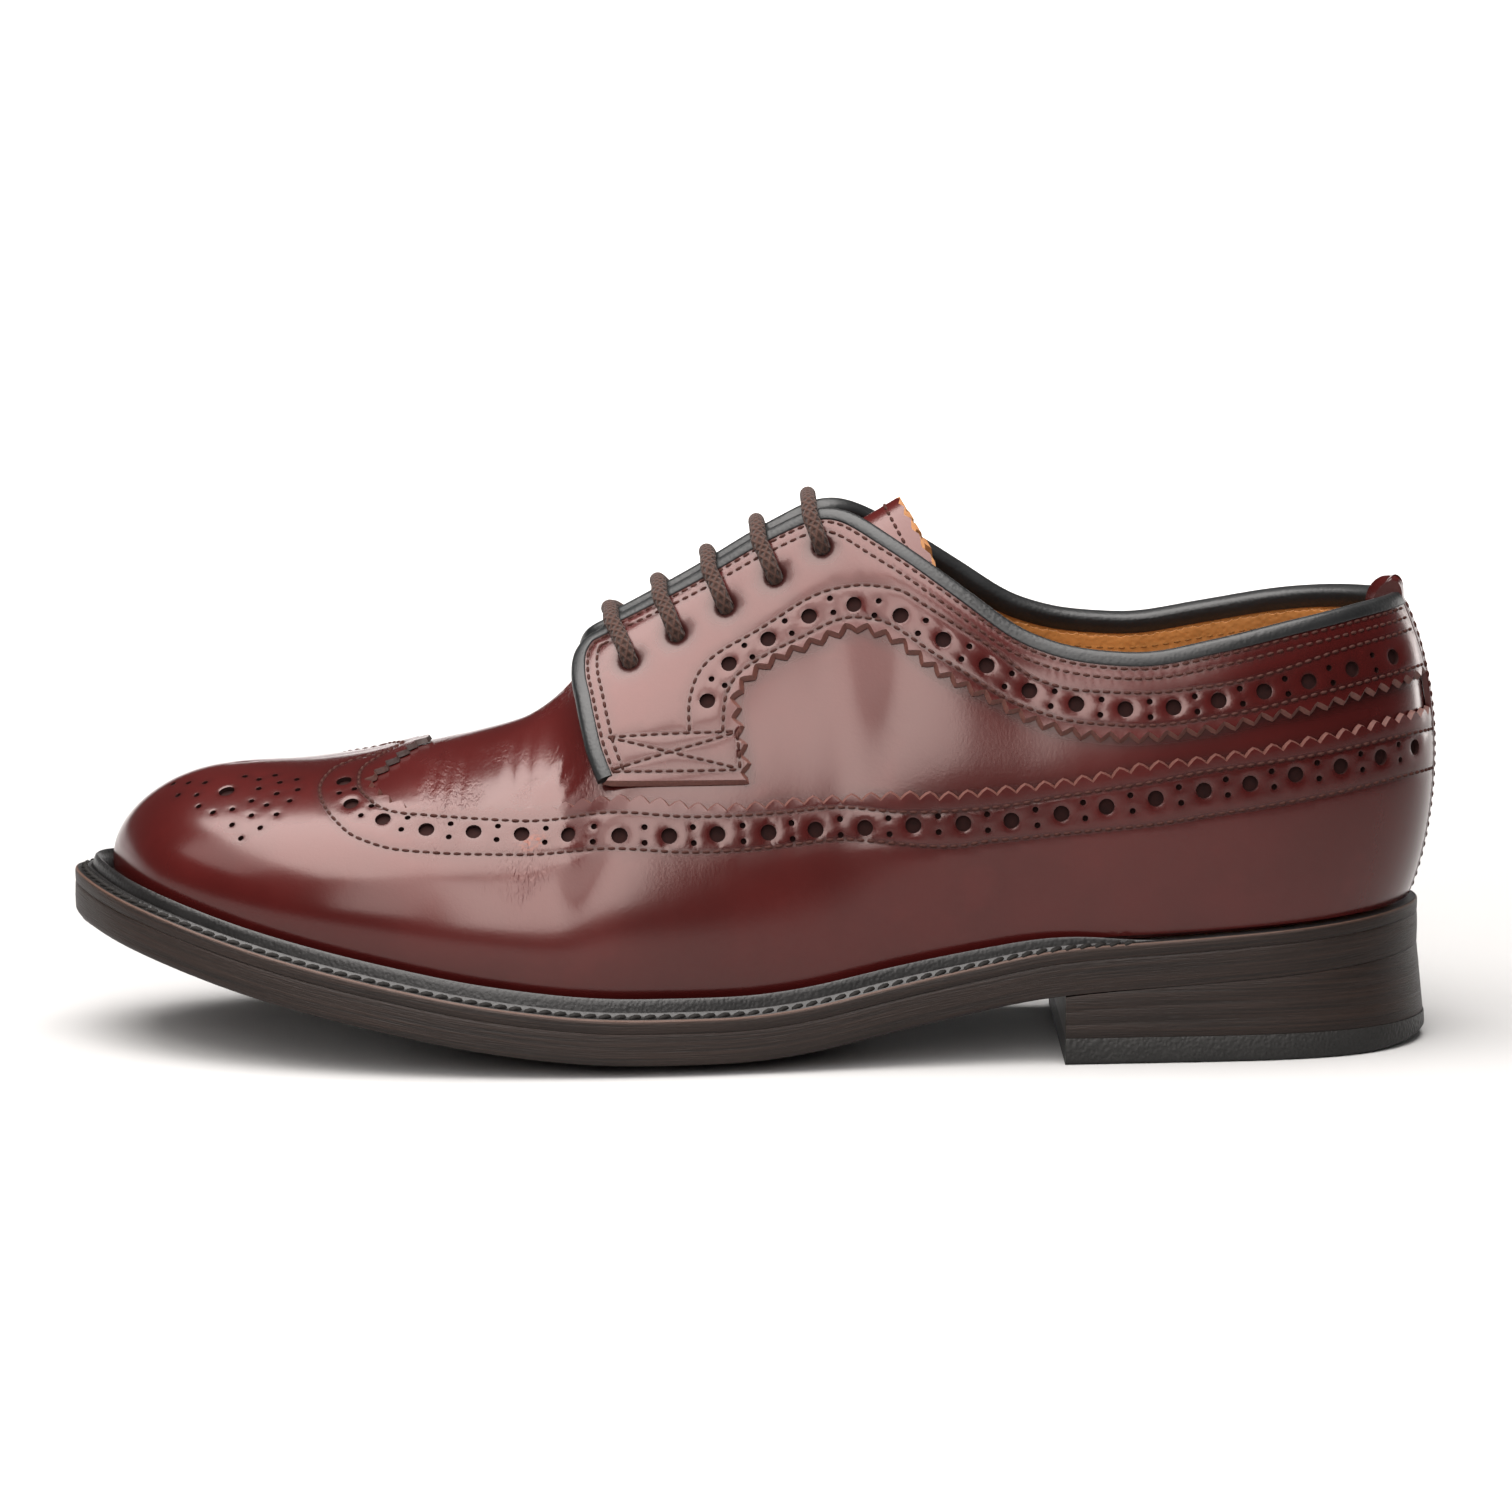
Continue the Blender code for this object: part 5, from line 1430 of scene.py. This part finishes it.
class DERBY_OT_upper(bpy.types.Operator):
    """Make the vamp and quarters with their creases, and the tan lining with its sewn topband"""
    bl_idname = "derby.upper"
    bl_label = "Vamp, quarters and lining"

    def execute(self, context):
        made = dressing(context)
        places, heights = shell_places(300), np.linspace(0, 1, 50)
        place, height = np.meshgrid(places, heights, indexing="ij")
        flat = LAST.point(place, height).reshape(-1, 3)
        sunk, flex = made.creases.sink(flat)
        edges = [(made.wing_edge, False), (made.collar_edge, True), (made.front, True)]
        edges = [LAST.point(*side.T, facing) for line, facing in edges for side in both_sides(line)]
        # Painted shade on the vamp and quarters along the edges of the panels that lie on them
        burnish_and_shade = burnish_and_shade_at(nearest(flat, np.concatenate(edges))[0], EDGE_SHADE)
        half_wall, apart = WALL / 2 + 0.05, 0.05
        points, faces, used = closed_shell(places, heights, -sunk.reshape(place.shape), -half_wall)
        spot = used % place.size
        fields = {"burnish_and_shade": burnish_and_shade[spot], "flex": flex[spot]}
        upper = add_mesh("vamp_and_quarters", points, faces, (made.calf,), fields=fields)
        seat(upper, "burgundy_leather", "upper")

        places, heights = shell_places(150), np.linspace(0.0, LINING_TOP, 34)
        points, faces, _ = closed_shell(places, heights, -half_wall - apart, -WALL)
        lining = add_mesh("lining", points, faces, (made.lining,))
        seat(lining, "insole_leather")

        start, end = strip_half(1.0) + 2 * STRIP_PLAY, float(LAST.place_of(TOPBAND_X))
        topline = even(at_height(np.linspace(start, end, 400), 1.0), 0.6)
        number = np.arange(len(topline))
        ragged = 0.22 * np.sin(number * 1.7) + 0.16 * np.sin(number * 0.61)
        rows = [beside(topline, TOPBAND_DROP + drop) for drop in (ragged, *TOPBAND_ROWS)]
        seams = [beside(topline, TOPBAND_DROP + drop)[4:-4] for drop in TOPBAND_SEAMS]
        lifts = -WALL - TOPBAND_THICK + 0.12 * (np.arange(len(rows)) == 0)
        sewn_lift = -WALL - TOPBAND_THICK + 0.05
        for side, turn in SIDES:
            front = [LAST.lifted(*turn(row).T, lift) for row, lift in zip(rows, lifts)]
            back = [LAST.lifted(*turn(row).T, -WALL - 0.02) for row in rows[::-1]]
            points, faces, _ = tube(np.stack(front + back, axis=1))
            cut = len(front + back) - 1
            slots = [1 if k % (cut + 1) == cut else 0 for k in range(len(faces))]
            band = add_mesh(f"topband_{side}", points, faces, (made.lining, made.flesh), slots)
            seat(band, "insole_leather")
            stitches = []
            for seam in seams:
                middle, along, normal = stitch_points(turn(seam), BAND_PITCH, False, sewn_lift)
                stitches.append((middle, along, -normal))
            sewing = sewn(f"topband_{side}_stitches", stitches, BAND_STITCH, BAND_THREAD, (made.tan_thread,))
            seat(sewing, "insole_leather")
        return {"FINISHED"}


class DERBY_OT_wing(bpy.types.Operator):
    """Cut, gimp and punch the long wing cap with its toe medallion"""
    bl_idname = "derby.wing"
    bl_label = "Wing cap"

    def execute(self, context):
        made = dressing(context)
        edge = gimped(made.wing_edge, made.sizes.gimp_pitch, -made.sizes.gimp_depth)
        edge[0], edge[-1] = made.wing_edge[0], made.wing_edge[-1]
        start = strip_half(OVERLAY_FOOT) + STRIP_PLAY
        foot = at_height(np.linspace(start, 2 - start, 420), OVERLAY_FOOT)
        back = beside_strip(np.linspace(OVERLAY_FOOT, edge[0, 1], 28)[1:-1])
        ridge = at_height(np.linspace(edge[-1, 0], 1.0, 40), 1.0)
        ridge = np.concatenate((ridge, mirrored(ridge)[-2::-1]))[1:-1]
        runs = (foot, mirrored(back), mirrored(edge), ridge[::-1], edge[::-1], back[::-1])
        outline = np.concatenate(runs)
        cut = np.concatenate([np.full(len(run), k in (2, 4)) for k, run in enumerate(runs)])
        cut &= outline[:, 1] < BEVEL_TOP
        holes = made.wing_holes + [(np.array((2 - c[0], c[1])), r) for c, r in made.wing_holes]
        rows = [trace(WING_INNER_ROW), trace(WING_OUTER_ROW)]
        lines = [side for row in rows for side in both_sides(row)]
        wing = panel_piece("wing", made, outline, cut, holes, lines, False, True, np.zeros((0, 3)))
        seat(wing, "burgundy_leather", "wing_cap")
        holes_and_stitches("wing", made, holes, lines, False)
        return {"FINISHED"}


class DERBY_OT_facings(bpy.types.Operator):
    """Cut, gimp and punch both facings with their collars, eyelets and sewn tabs"""
    bl_idname = "derby.facings"
    bl_label = "Facings and collar"

    def execute(self, context):
        made = dressing(context)
        sizes = made.sizes
        edge = gimped(made.collar_edge, sizes.gimp_pitch, -sizes.gimp_depth, True)
        edge[0] = made.collar_edge[0]
        foot = trace(TAB_FOOT, True, 1.2)[1:-1]
        under_binding = 0.5
        front = even(beside(made.front, -under_binding, True), 1.0, True)
        top = at_height(np.linspace(front[-1, 0], strip_half(1.0) + STRIP_PLAY, 260)[1:], 1.0)
        back = beside_strip(np.linspace(1.0, edge[0, 1], 14)[1:-1])
        runs = (edge, foot, front, top, back)
        outline = np.concatenate(runs)
        cut = np.concatenate([np.full(len(run), k < 2) for k, run in enumerate(runs)])
        bound = np.concatenate((even(made.front, 0.8, True), top[::2]))
        rows = [trace(row, True) for row in (COLLAR_UPPER_ROW, COLLAR_LOWER_ROW, *TAB_ROWS)]
        rows += [beside(bound, -inset, True) for inset in BOUND_ROWS]
        clear = 2 * STRIP_PLAY
        rows = [row[(row[:, 0] > strip_half(row[:, 1]) + clear) & (row[:, 1] < ON_TOP)] for row in rows]
        holes = made.collar_holes + [(spot, sizes.eyelet_radius) for spot in made.eyelets]
        for side, turn in SIDES:
            punched = [(turn(np.array([centre]))[0], radius) for centre, radius in holes]
            lines = [turn(row) for row in rows]
            eyelets = LAST.point(*turn(made.eyelets).T, True)
            facing = panel_piece(
                f"facing_{side}_leather", made, turn(outline), cut, punched, lines, True, False, eyelets)
            seat(facing, "burgundy_leather", f"facing_{side}")
            holes_and_stitches(f"facing_{side}", made, punched[:-EYELETS], lines, True)
        return {"FINISHED"}


class DERBY_OT_back_strip(bpy.types.Operator):
    """Fold the strip that covers the back seam over the topline"""
    bl_idname = "derby.back_strip"
    bl_label = "Back strip"

    def execute(self, context):
        made = dressing(context)
        climb, turn = np.linspace(OVERLAY_FOOT, 1, 70), np.linspace(1.0, 1.0 - STRIP_TURN, 8)
        wide, top_wide = strip_half(climb), np.full(len(turn), STRIP_INSIDE)
        swell_high, crown_more, crown_fall, roof_high = 0.30, 0.9, 0.5, 0.8
        arc = np.linspace(0, np.pi, 15)[1:-1, None]
        rings, burnish_and_shade = [], []
        for share in np.linspace(-1, 1, 41):
            swell = swell_high * (1 - share ** 6)
            outside = LAST.lifted(share * wide, climb, SEAM + OVERLAY + swell)
            against = LAST.lifted(share * wide[::-1], climb[::-1], SEAM)
            inside_face = LAST.lifted(share * top_wide, turn, -WALL - 2 * SEAM - OVERLAY)
            lining = LAST.lifted(share * top_wide, turn[::-1], -WALL - 2 * SEAM)
            middle, half = (outside[-1] + inside_face[0]) / 2, (outside[-1] - inside_face[0]) / 2
            high = UP * (STRIP_CROWN + crown_more - crown_fall * share ** 2)
            crown = middle + half * np.cos(arc) + high * np.sin(arc) ** 0.8
            middle, half = (against[0] + lining[-1]) / 2, (against[0] - lining[-1]) / 2
            roof = middle + half * np.cos(arc[::-1]) + UP * roof_high * np.sin(arc)
            rings.append(np.concatenate((outside, crown, inside_face, lining, roof, against)))
            # Darker along the strip's sides: burnish and painted shade
            burnish_and_shade.append(np.full(len(rings[-1]), 0.4 * bell(1 - abs(share), 0.1)))
        points, faces, _ = tube(rings)
        fields = {"burnish_and_shade": np.concatenate(burnish_and_shade)}
        strip = add_mesh("heel_strip", points, faces, (made.calf,), fields=fields)
        seat(strip, "burgundy_leather", "back_strip")
        rows = []
        for side in (-1, 1):
            heights = np.linspace(0.04, 0.99, 80)
            row = np.column_stack((side * (strip_half(heights) - STRIP_ROW), heights))
            rows.append(stitch_points(row, made.sizes.stitch_pitch, False, SEAM + OVERLAY + 0.22))
        sewing = sewn("heel_strip_stitches", rows, STRIP_STITCH, made.sizes.stitch_radius, (made.thread,))
        seat(sewing, "burgundy_leather")
        return {"FINISHED"}


class DERBY_OT_binding(bpy.types.Operator):
    """Fold the black binding over the facings' front edges and the topline"""
    bl_idname = "derby.binding"
    bl_label = "Binding"

    def execute(self, context):
        made = dressing(context)
        places = np.linspace(made.front[-1, 0], strip_half(1.0) + STRIP_PLAY, 330)[1:]
        line = np.concatenate((made.front, at_height(places, 1.0)))
        step, before_top, deepening, front_deep = 0.9, 4.0, 14.0, 0.7
        line = even(line, step, True)
        on_top = np.flatnonzero(line[:, 1] > ON_TOP)[0] * step
        run = np.clip((np.arange(len(line)) * step - on_top + before_top) / deepening, 0, 1)
        inner = -front_deep + eased(run, front_deep - WALL)
        outer = SEAM + OVERLAY
        for (side, turn), sign in zip(SIDES, (1.0, -1.0)):
            path = turn(line)
            points = LAST.point(*path.T, True)
            normal = LAST.normal(*path.T, True)
            outward = sign * unit(np.cross(normal, unit(np.gradient(points, axis=0))))
            rings = []
            for spot, out, across, low in zip(points, outward, normal, inner):
                profile = (     # out past the leather's edge, up off its face
                    (-1.15, outer - 0.2), (-1.1, outer + 0.20), (-0.85, outer + 0.36), (0.3, outer + 0.42),
                    (1.3, outer + 0.34), (1.9, outer + 0.02), (2.3, outer - 0.6), (2.45, 0.3 * outer),
                    (2.4, 0.5 * low), (2.1, low - 0.05), (1.4, low - 0.42), (0.2, low - 0.5),
                    (-1.7, low - 0.45), (-1.95, low - 0.2), (-1.7, low + 0.15), (-0.6, low + 0.15),
                    (-0.6, outer - 0.5))
                rings.append([spot + out * u + across * w for u, w in profile])
            points, faces, _ = tube(rings)
            binding = add_mesh(f"binding_{side}_fold", points, faces, (made.binding,), sharp=1.0)
            seat(binding, "binding_leather", f"binding_{side}")
        return {"FINISHED"}


class DERBY_OT_tongue(bpy.types.Operator):
    """Shape the tongue with its pinked edge, tan flesh side and stitch row"""
    bl_idname = "derby.tongue"
    bl_label = "Tongue"

    def execute(self, context):
        made = dressing(context)
        x, z, half, drop = columns_of(TONGUE)
        ridge, wide, fall = [table_curve(x, column, TONGUE_SOFT) for column in (z, half, drop)]
        depth, pitch = 0.9, 3.2     # teeth of its edge
        side_pitch = 0.85 * pitch

        def face(along, across):
            along, across = np.broadcast_arrays(np.asarray(along, float), across)
            spine = np.stack((along, LAST.swing(along) + across * wide(along), ridge(along)), axis=-1)
            return spine - (np.abs(across) ** TONGUE_ROUND * fall(along))[..., None] * TONGUE_UP

        def notch(t):
            return depth * np.abs(t % 1 * 2 - 1)

        share, across = np.meshgrid(np.linspace(0, 1, 190), np.linspace(-1, 1, 65), indexing="ij")
        length = x[-1] - x[0]
        along = x[0] + share * length
        across = across * (1 - notch(along / side_pitch) / wide(along) * np.abs(across) ** 8)
        along = along - notch(across * wide(along) / pitch) * share ** 24
        top = face(along, across)
        points = np.stack((top, top - (TONGUE_THICK - 0.3) * TONGUE_UP))
        number = np.arange(points[..., 0].size).reshape(points.shape[:3])
        sides = [cells(number[:, :, k]) for k in (0, -1)] + [cells(number[:, k]) for k in (0, -1)]
        faces = np.concatenate([cells(number[0]), cells(number[1])] + sides)
        slots = np.ones(len(faces), int)
        slots[:number[0, 1:, 1:].size] = 0
        points, materials = points.reshape(-1, 3), (made.calf, made.flesh)
        tongue = add_mesh("tongue_leather", points, faces.tolist(), materials, slots)
        seat(tongue, "burgundy_leather", "tongue")

        inset, hidden = 3.4, 14
        low = np.linspace(x[0] + hidden, x[-1] - inset, 120)
        row = 1 - inset / wide(low)
        end = np.linspace(-row[-1], row[-1], 60)
        runs = (low, -row), (low, row), (np.full(60, x[-1] - inset), end)
        stitches = []
        for along, across in runs:
            line = face(along, across)
            normal = unit(np.cross(face(along + 0.5, across) - face(along - 0.5, across),
                                   face(along, across + 0.02) - face(along, across - 0.02)))
            stitches.append(stitch_run(line, normal, made.sizes.stitch_pitch, 0.02))
        sewing = sewn("tongue_stitches", stitches, STITCH_LONG, made.sizes.stitch_radius, (made.thread,))
        seat(sewing, "burgundy_leather")
        return {"FINISHED"}


class DERBY_OT_welt(bpy.types.Operator):
    """Run the storm welt round the upper with its bead and its rope-like stitching"""
    bl_idname = "derby.welt"
    bl_label = "Storm welt"

    def execute(self, context):
        made = dressing(context)
        places = np.linspace(0, 2, 560, endpoint=False)
        rings, worn, up = [], [], []
        channel, rise = [], []
        for place in places:
            spot, out = LAST.at(LAST.outline, place), LAST.at(LAST.out, place)
            margin, share = float(LAST.margin(spot[0])), float(LAST.bead(spot[0]))
            bead = (BEAD_HIGH + BEAD_MORE) * share
            zone = margin - OVERLAY - 3 * SEAM - WALL_FLARE * share
            profile = (     # distance in from the sole's edge, height above the welt's top, wear
                (0.22, -WELT_THICK - 0.15, 0.0), (0.04, -WELT_THICK + 0.1, 0.0), (0.0, -1.6, 0.0),
                (0.0, -0.75, 0.0), (0.08, -0.35, 0.2), (0.28, -0.08, 0.6), (0.55, 0.10, 0.3),
                (0.15 * zone, 0.22 * share, 0.0), (0.20 * zone, 0.12 * share, 0.0),
                (0.42 * zone, 0.75 * share, 0.0), (0.47 * zone, 1.25 * share, 0.0),
                (0.54 * zone, 1.35 * share, 0.0), (0.59 * zone, 0.95 * share, 0.0),
                (0.62 * zone, 0.40 * bead, 0.0), (0.65 * zone, 0.68 * bead, 0.0),
                (0.70 * zone, 0.90 * bead, 0.0), (0.77 * zone, bead, 0.0),
                (0.85 * zone, 0.95 * bead, 0.0), (0.92 * zone, 0.75 * bead, 0.0),
                (0.98 * zone, 0.40 * bead, 0.0), (zone, 0.0, 0.0), (margin + WELT_TUCK, 0.0, 0.0),
                (margin + WELT_TUCK, -WELT_THICK - 0.15, 0.0))
            ring = []
            for inward, height, _ in profile:
                x, y = spot - out * inward
                ring.append((x, y, float(LAST.welt_base(x)) + WELT_THICK + height))
            rings.append(ring)
            worn.append([row[2] for row in profile])
            up.append([row[1] + WELT_THICK for row in profile])
            x, y = spot - out * CHANNEL * zone
            channel.append((x, y, float(LAST.welt_base(x)) + WELT_THICK + 0.55 * share))
            rise.append(unit(np.array((*(out * 0.35), 1.0))))
        points, faces, _ = tube(rings, closed=True)
        size = len(rings[0])
        slots = np.tile([0] * 6 + [1] * (size - 7) + [0], len(rings))
        along = np.repeat(run_length(np.array(rings)[:, 0]), size)
        fields = {"worn": np.ravel(worn), "up": np.ravel(up), "along": along}
        welt = add_mesh("storm_welt", points, faces, (made.sole_side, made.welt), slots, fields)
        seat(welt, "welt_leather", "welt")
        channel = np.array(channel)
        sewn_part = channel[:, 0] < WELT_LAST_X
        stitches = [stitch_run(channel[sewn_part], np.array(rise)[sewn_part], made.sizes.welt_pitch, 0.0)]
        sewing = sewn("welt_stitches", stitches, WELT_STITCH, WELT_THREAD, (made.welt_thread,), WELT_LEAN)
        seat(sewing, "welt_leather")
        return {"FINISHED"}


class DERBY_OT_sole(bpy.types.Operator):
    """Shape the outsole, the stacked heel with its top piece, and the sock inside"""
    bl_idname = "derby.sole"
    bl_label = "Sole, heel and sock"

    def execute(self, context):
        made = dressing(context)

        def underside(x, edge):
            curl = np.clip((edge - SOLE_CURL) / (1 - SOLE_CURL), 0, 1)
            return LAST.underside(x) + LAST.edge_rise(x) * curl ** 2

        def rounding(x):
            ahead, run, least = 14, 12, 0.15
            share = np.clip((x - BREAST_X + ahead) / run, 0, 1)
            return least + (SOLE_ROUND - least) * (1 - eased(share))

        def level(outset, lift):
            return (lambda x: 0 * x + outset), (lambda x, edge: LAST.sole_edge(x) + lift)

        def rounded(angle):
            inward, high = math.sin(angle) - 1, 1 - math.cos(angle)
            return (lambda x: rounding(x) * inward), (lambda x, edge: LAST.sole_edge(x) + rounding(x) * high)

        layers = [((lambda x: -rounding(x)), underside)]
        layers += [rounded(angle) for angle in np.linspace(0, np.pi / 2, 6)[1:]]
        edge_levels = ((0.06, 2.4), (0.08, 3.6), (0.06, 5.0), (0.0, 6.6), (-0.06, 7.0), (-0.22, 7.3))
        layers += [level(outset, lift) for outset, lift in edge_levels]
        shares = np.concatenate(([0.0, 0.02, 0.05], np.linspace(0.1, 0.9, 17), [0.95, 0.98, 1.0]))
        plate_piece("sole", (made.sole_side, made.sole_face), "sole_leather", "outsole",
                    np.linspace(0, 1, 221), layers, shares, LAST.sole_edge)

        x, outset, worn = columns_of(HEEL)
        flare, wear = table_curve(x, outset, HEEL_SOFT), table_curve(x, worn, WEAR_SOFT)
        breast = np.interp(-BREAST_X, -LAST.outline[:DENSE, 0], LAST.loop[:DENSE])
        places, shares = np.linspace(0, breast, 90), np.linspace(0, 1, 25)
        foot_gap, top_gap = 0.05, 0.06
        foot = TOP_PIECE + foot_gap
        lifts = (       # share of the stack's height, depth of the groove between lifts
            (0, 0.12), (0.02, 0), (0.30, 0), (0.32, 0.07), (0.34, 0), (0.62, 0), (0.64, 0.07), (0.66, 0),
            (0.98, 0), (1.0, 0.10))
        layers = []
        for share, groove in lifts:
            layers.append(((lambda x, s=share, g=groove: 0.8 * (1 - s) * flare(x) - g),
                           (lambda x, edge, s=share: foot * (1 - s) + s * (LAST.underside(x) - top_gap))))
        plate_piece("heel_lifts", [made.sole_side] * 2, "sole_leather", "heel_stack",
                    places, layers, shares, np.zeros_like)
        rubber = (      # distance in from its edge, share of its height
            (0.8, 0.0), (0.3, 0.06), (0.08, 0.14), (0.0, 0.22), (0.0, 0.95), (0.15, 1.0))
        layers = []
        for inset, high in rubber:
            layers.append(((lambda x, i=inset, h=high: flare(x) * (1 - 0.1 * h) - i),
                           (lambda x, edge, h=high: wear(x) * (1 - h) + h * TOP_PIECE)))
        plate_piece("heel_rubber_piece", [made.rubber] * 2, "top_piece_rubber", "heel_top_piece",
                    places, layers, shares, np.zeros_like)

        def inset(x):
            return -LAST.margin(x) - WALL - INSOLE_PLAY

        layers = [(inset, lambda x, edge: LAST.upper_base(x)),
                  (inset, lambda x, edge: LAST.upper_base(x) + INSOLE_THICK - 0.4),
                  ((lambda x: inset(x) - 0.5), lambda x, edge: LAST.upper_base(x) + INSOLE_THICK)]
        plate_piece("sock", [made.lining] * 2, "insole_leather", "insole",
                    np.linspace(0, 1, 121), layers, np.linspace(0, 1, 33), LAST.sole_edge)
        return {"FINISHED"}


class DERBY_PT_sidebar(bpy.types.Panel):
    """Sizes, colours and pieces of the derby"""
    bl_idname = "DERBY_PT_sidebar"
    bl_label = "Brogue derby"
    bl_space_type = "VIEW_3D"
    bl_region_type = "UI"
    bl_category = "Derby"

    def draw(self, context):
        layout = self.layout
        for group in (context.scene.derby_sizes, context.scene.derby_colours):
            box = layout.box()
            for name in type(group).__annotations__:
                box.prop(group, name)
        for each in CLASSES:
            if issubclass(each, bpy.types.Operator):
                layout.operator(each.bl_idname)


CLASSES = (DerbySizes, DerbyColours, DERBY_OT_stage, DERBY_OT_lacing, DERBY_OT_upper, DERBY_OT_wing,
           DERBY_OT_facings, DERBY_OT_back_strip, DERBY_OT_binding, DERBY_OT_tongue, DERBY_OT_welt,
           DERBY_OT_sole, DERBY_PT_sidebar)


def register():
    for each in CLASSES:
        bpy.utils.register_class(each)
    bpy.types.Scene.derby_sizes = bpy.props.PointerProperty(type=DerbySizes)
    bpy.types.Scene.derby_colours = bpy.props.PointerProperty(type=DerbyColours)


def unregister():
    del bpy.types.Scene.derby_colours
    del bpy.types.Scene.derby_sizes
    for each in reversed(CLASSES):
        bpy.utils.unregister_class(each)


def main():
    register()
    bpy.ops.derby.stage()
    bpy.ops.derby.lacing()
    bpy.ops.derby.upper()
    bpy.ops.derby.wing()
    bpy.ops.derby.facings()
    bpy.ops.derby.back_strip()
    bpy.ops.derby.binding()
    bpy.ops.derby.tongue()
    bpy.ops.derby.welt()
    bpy.ops.derby.sole()


if __name__ == "__main__":
    main()
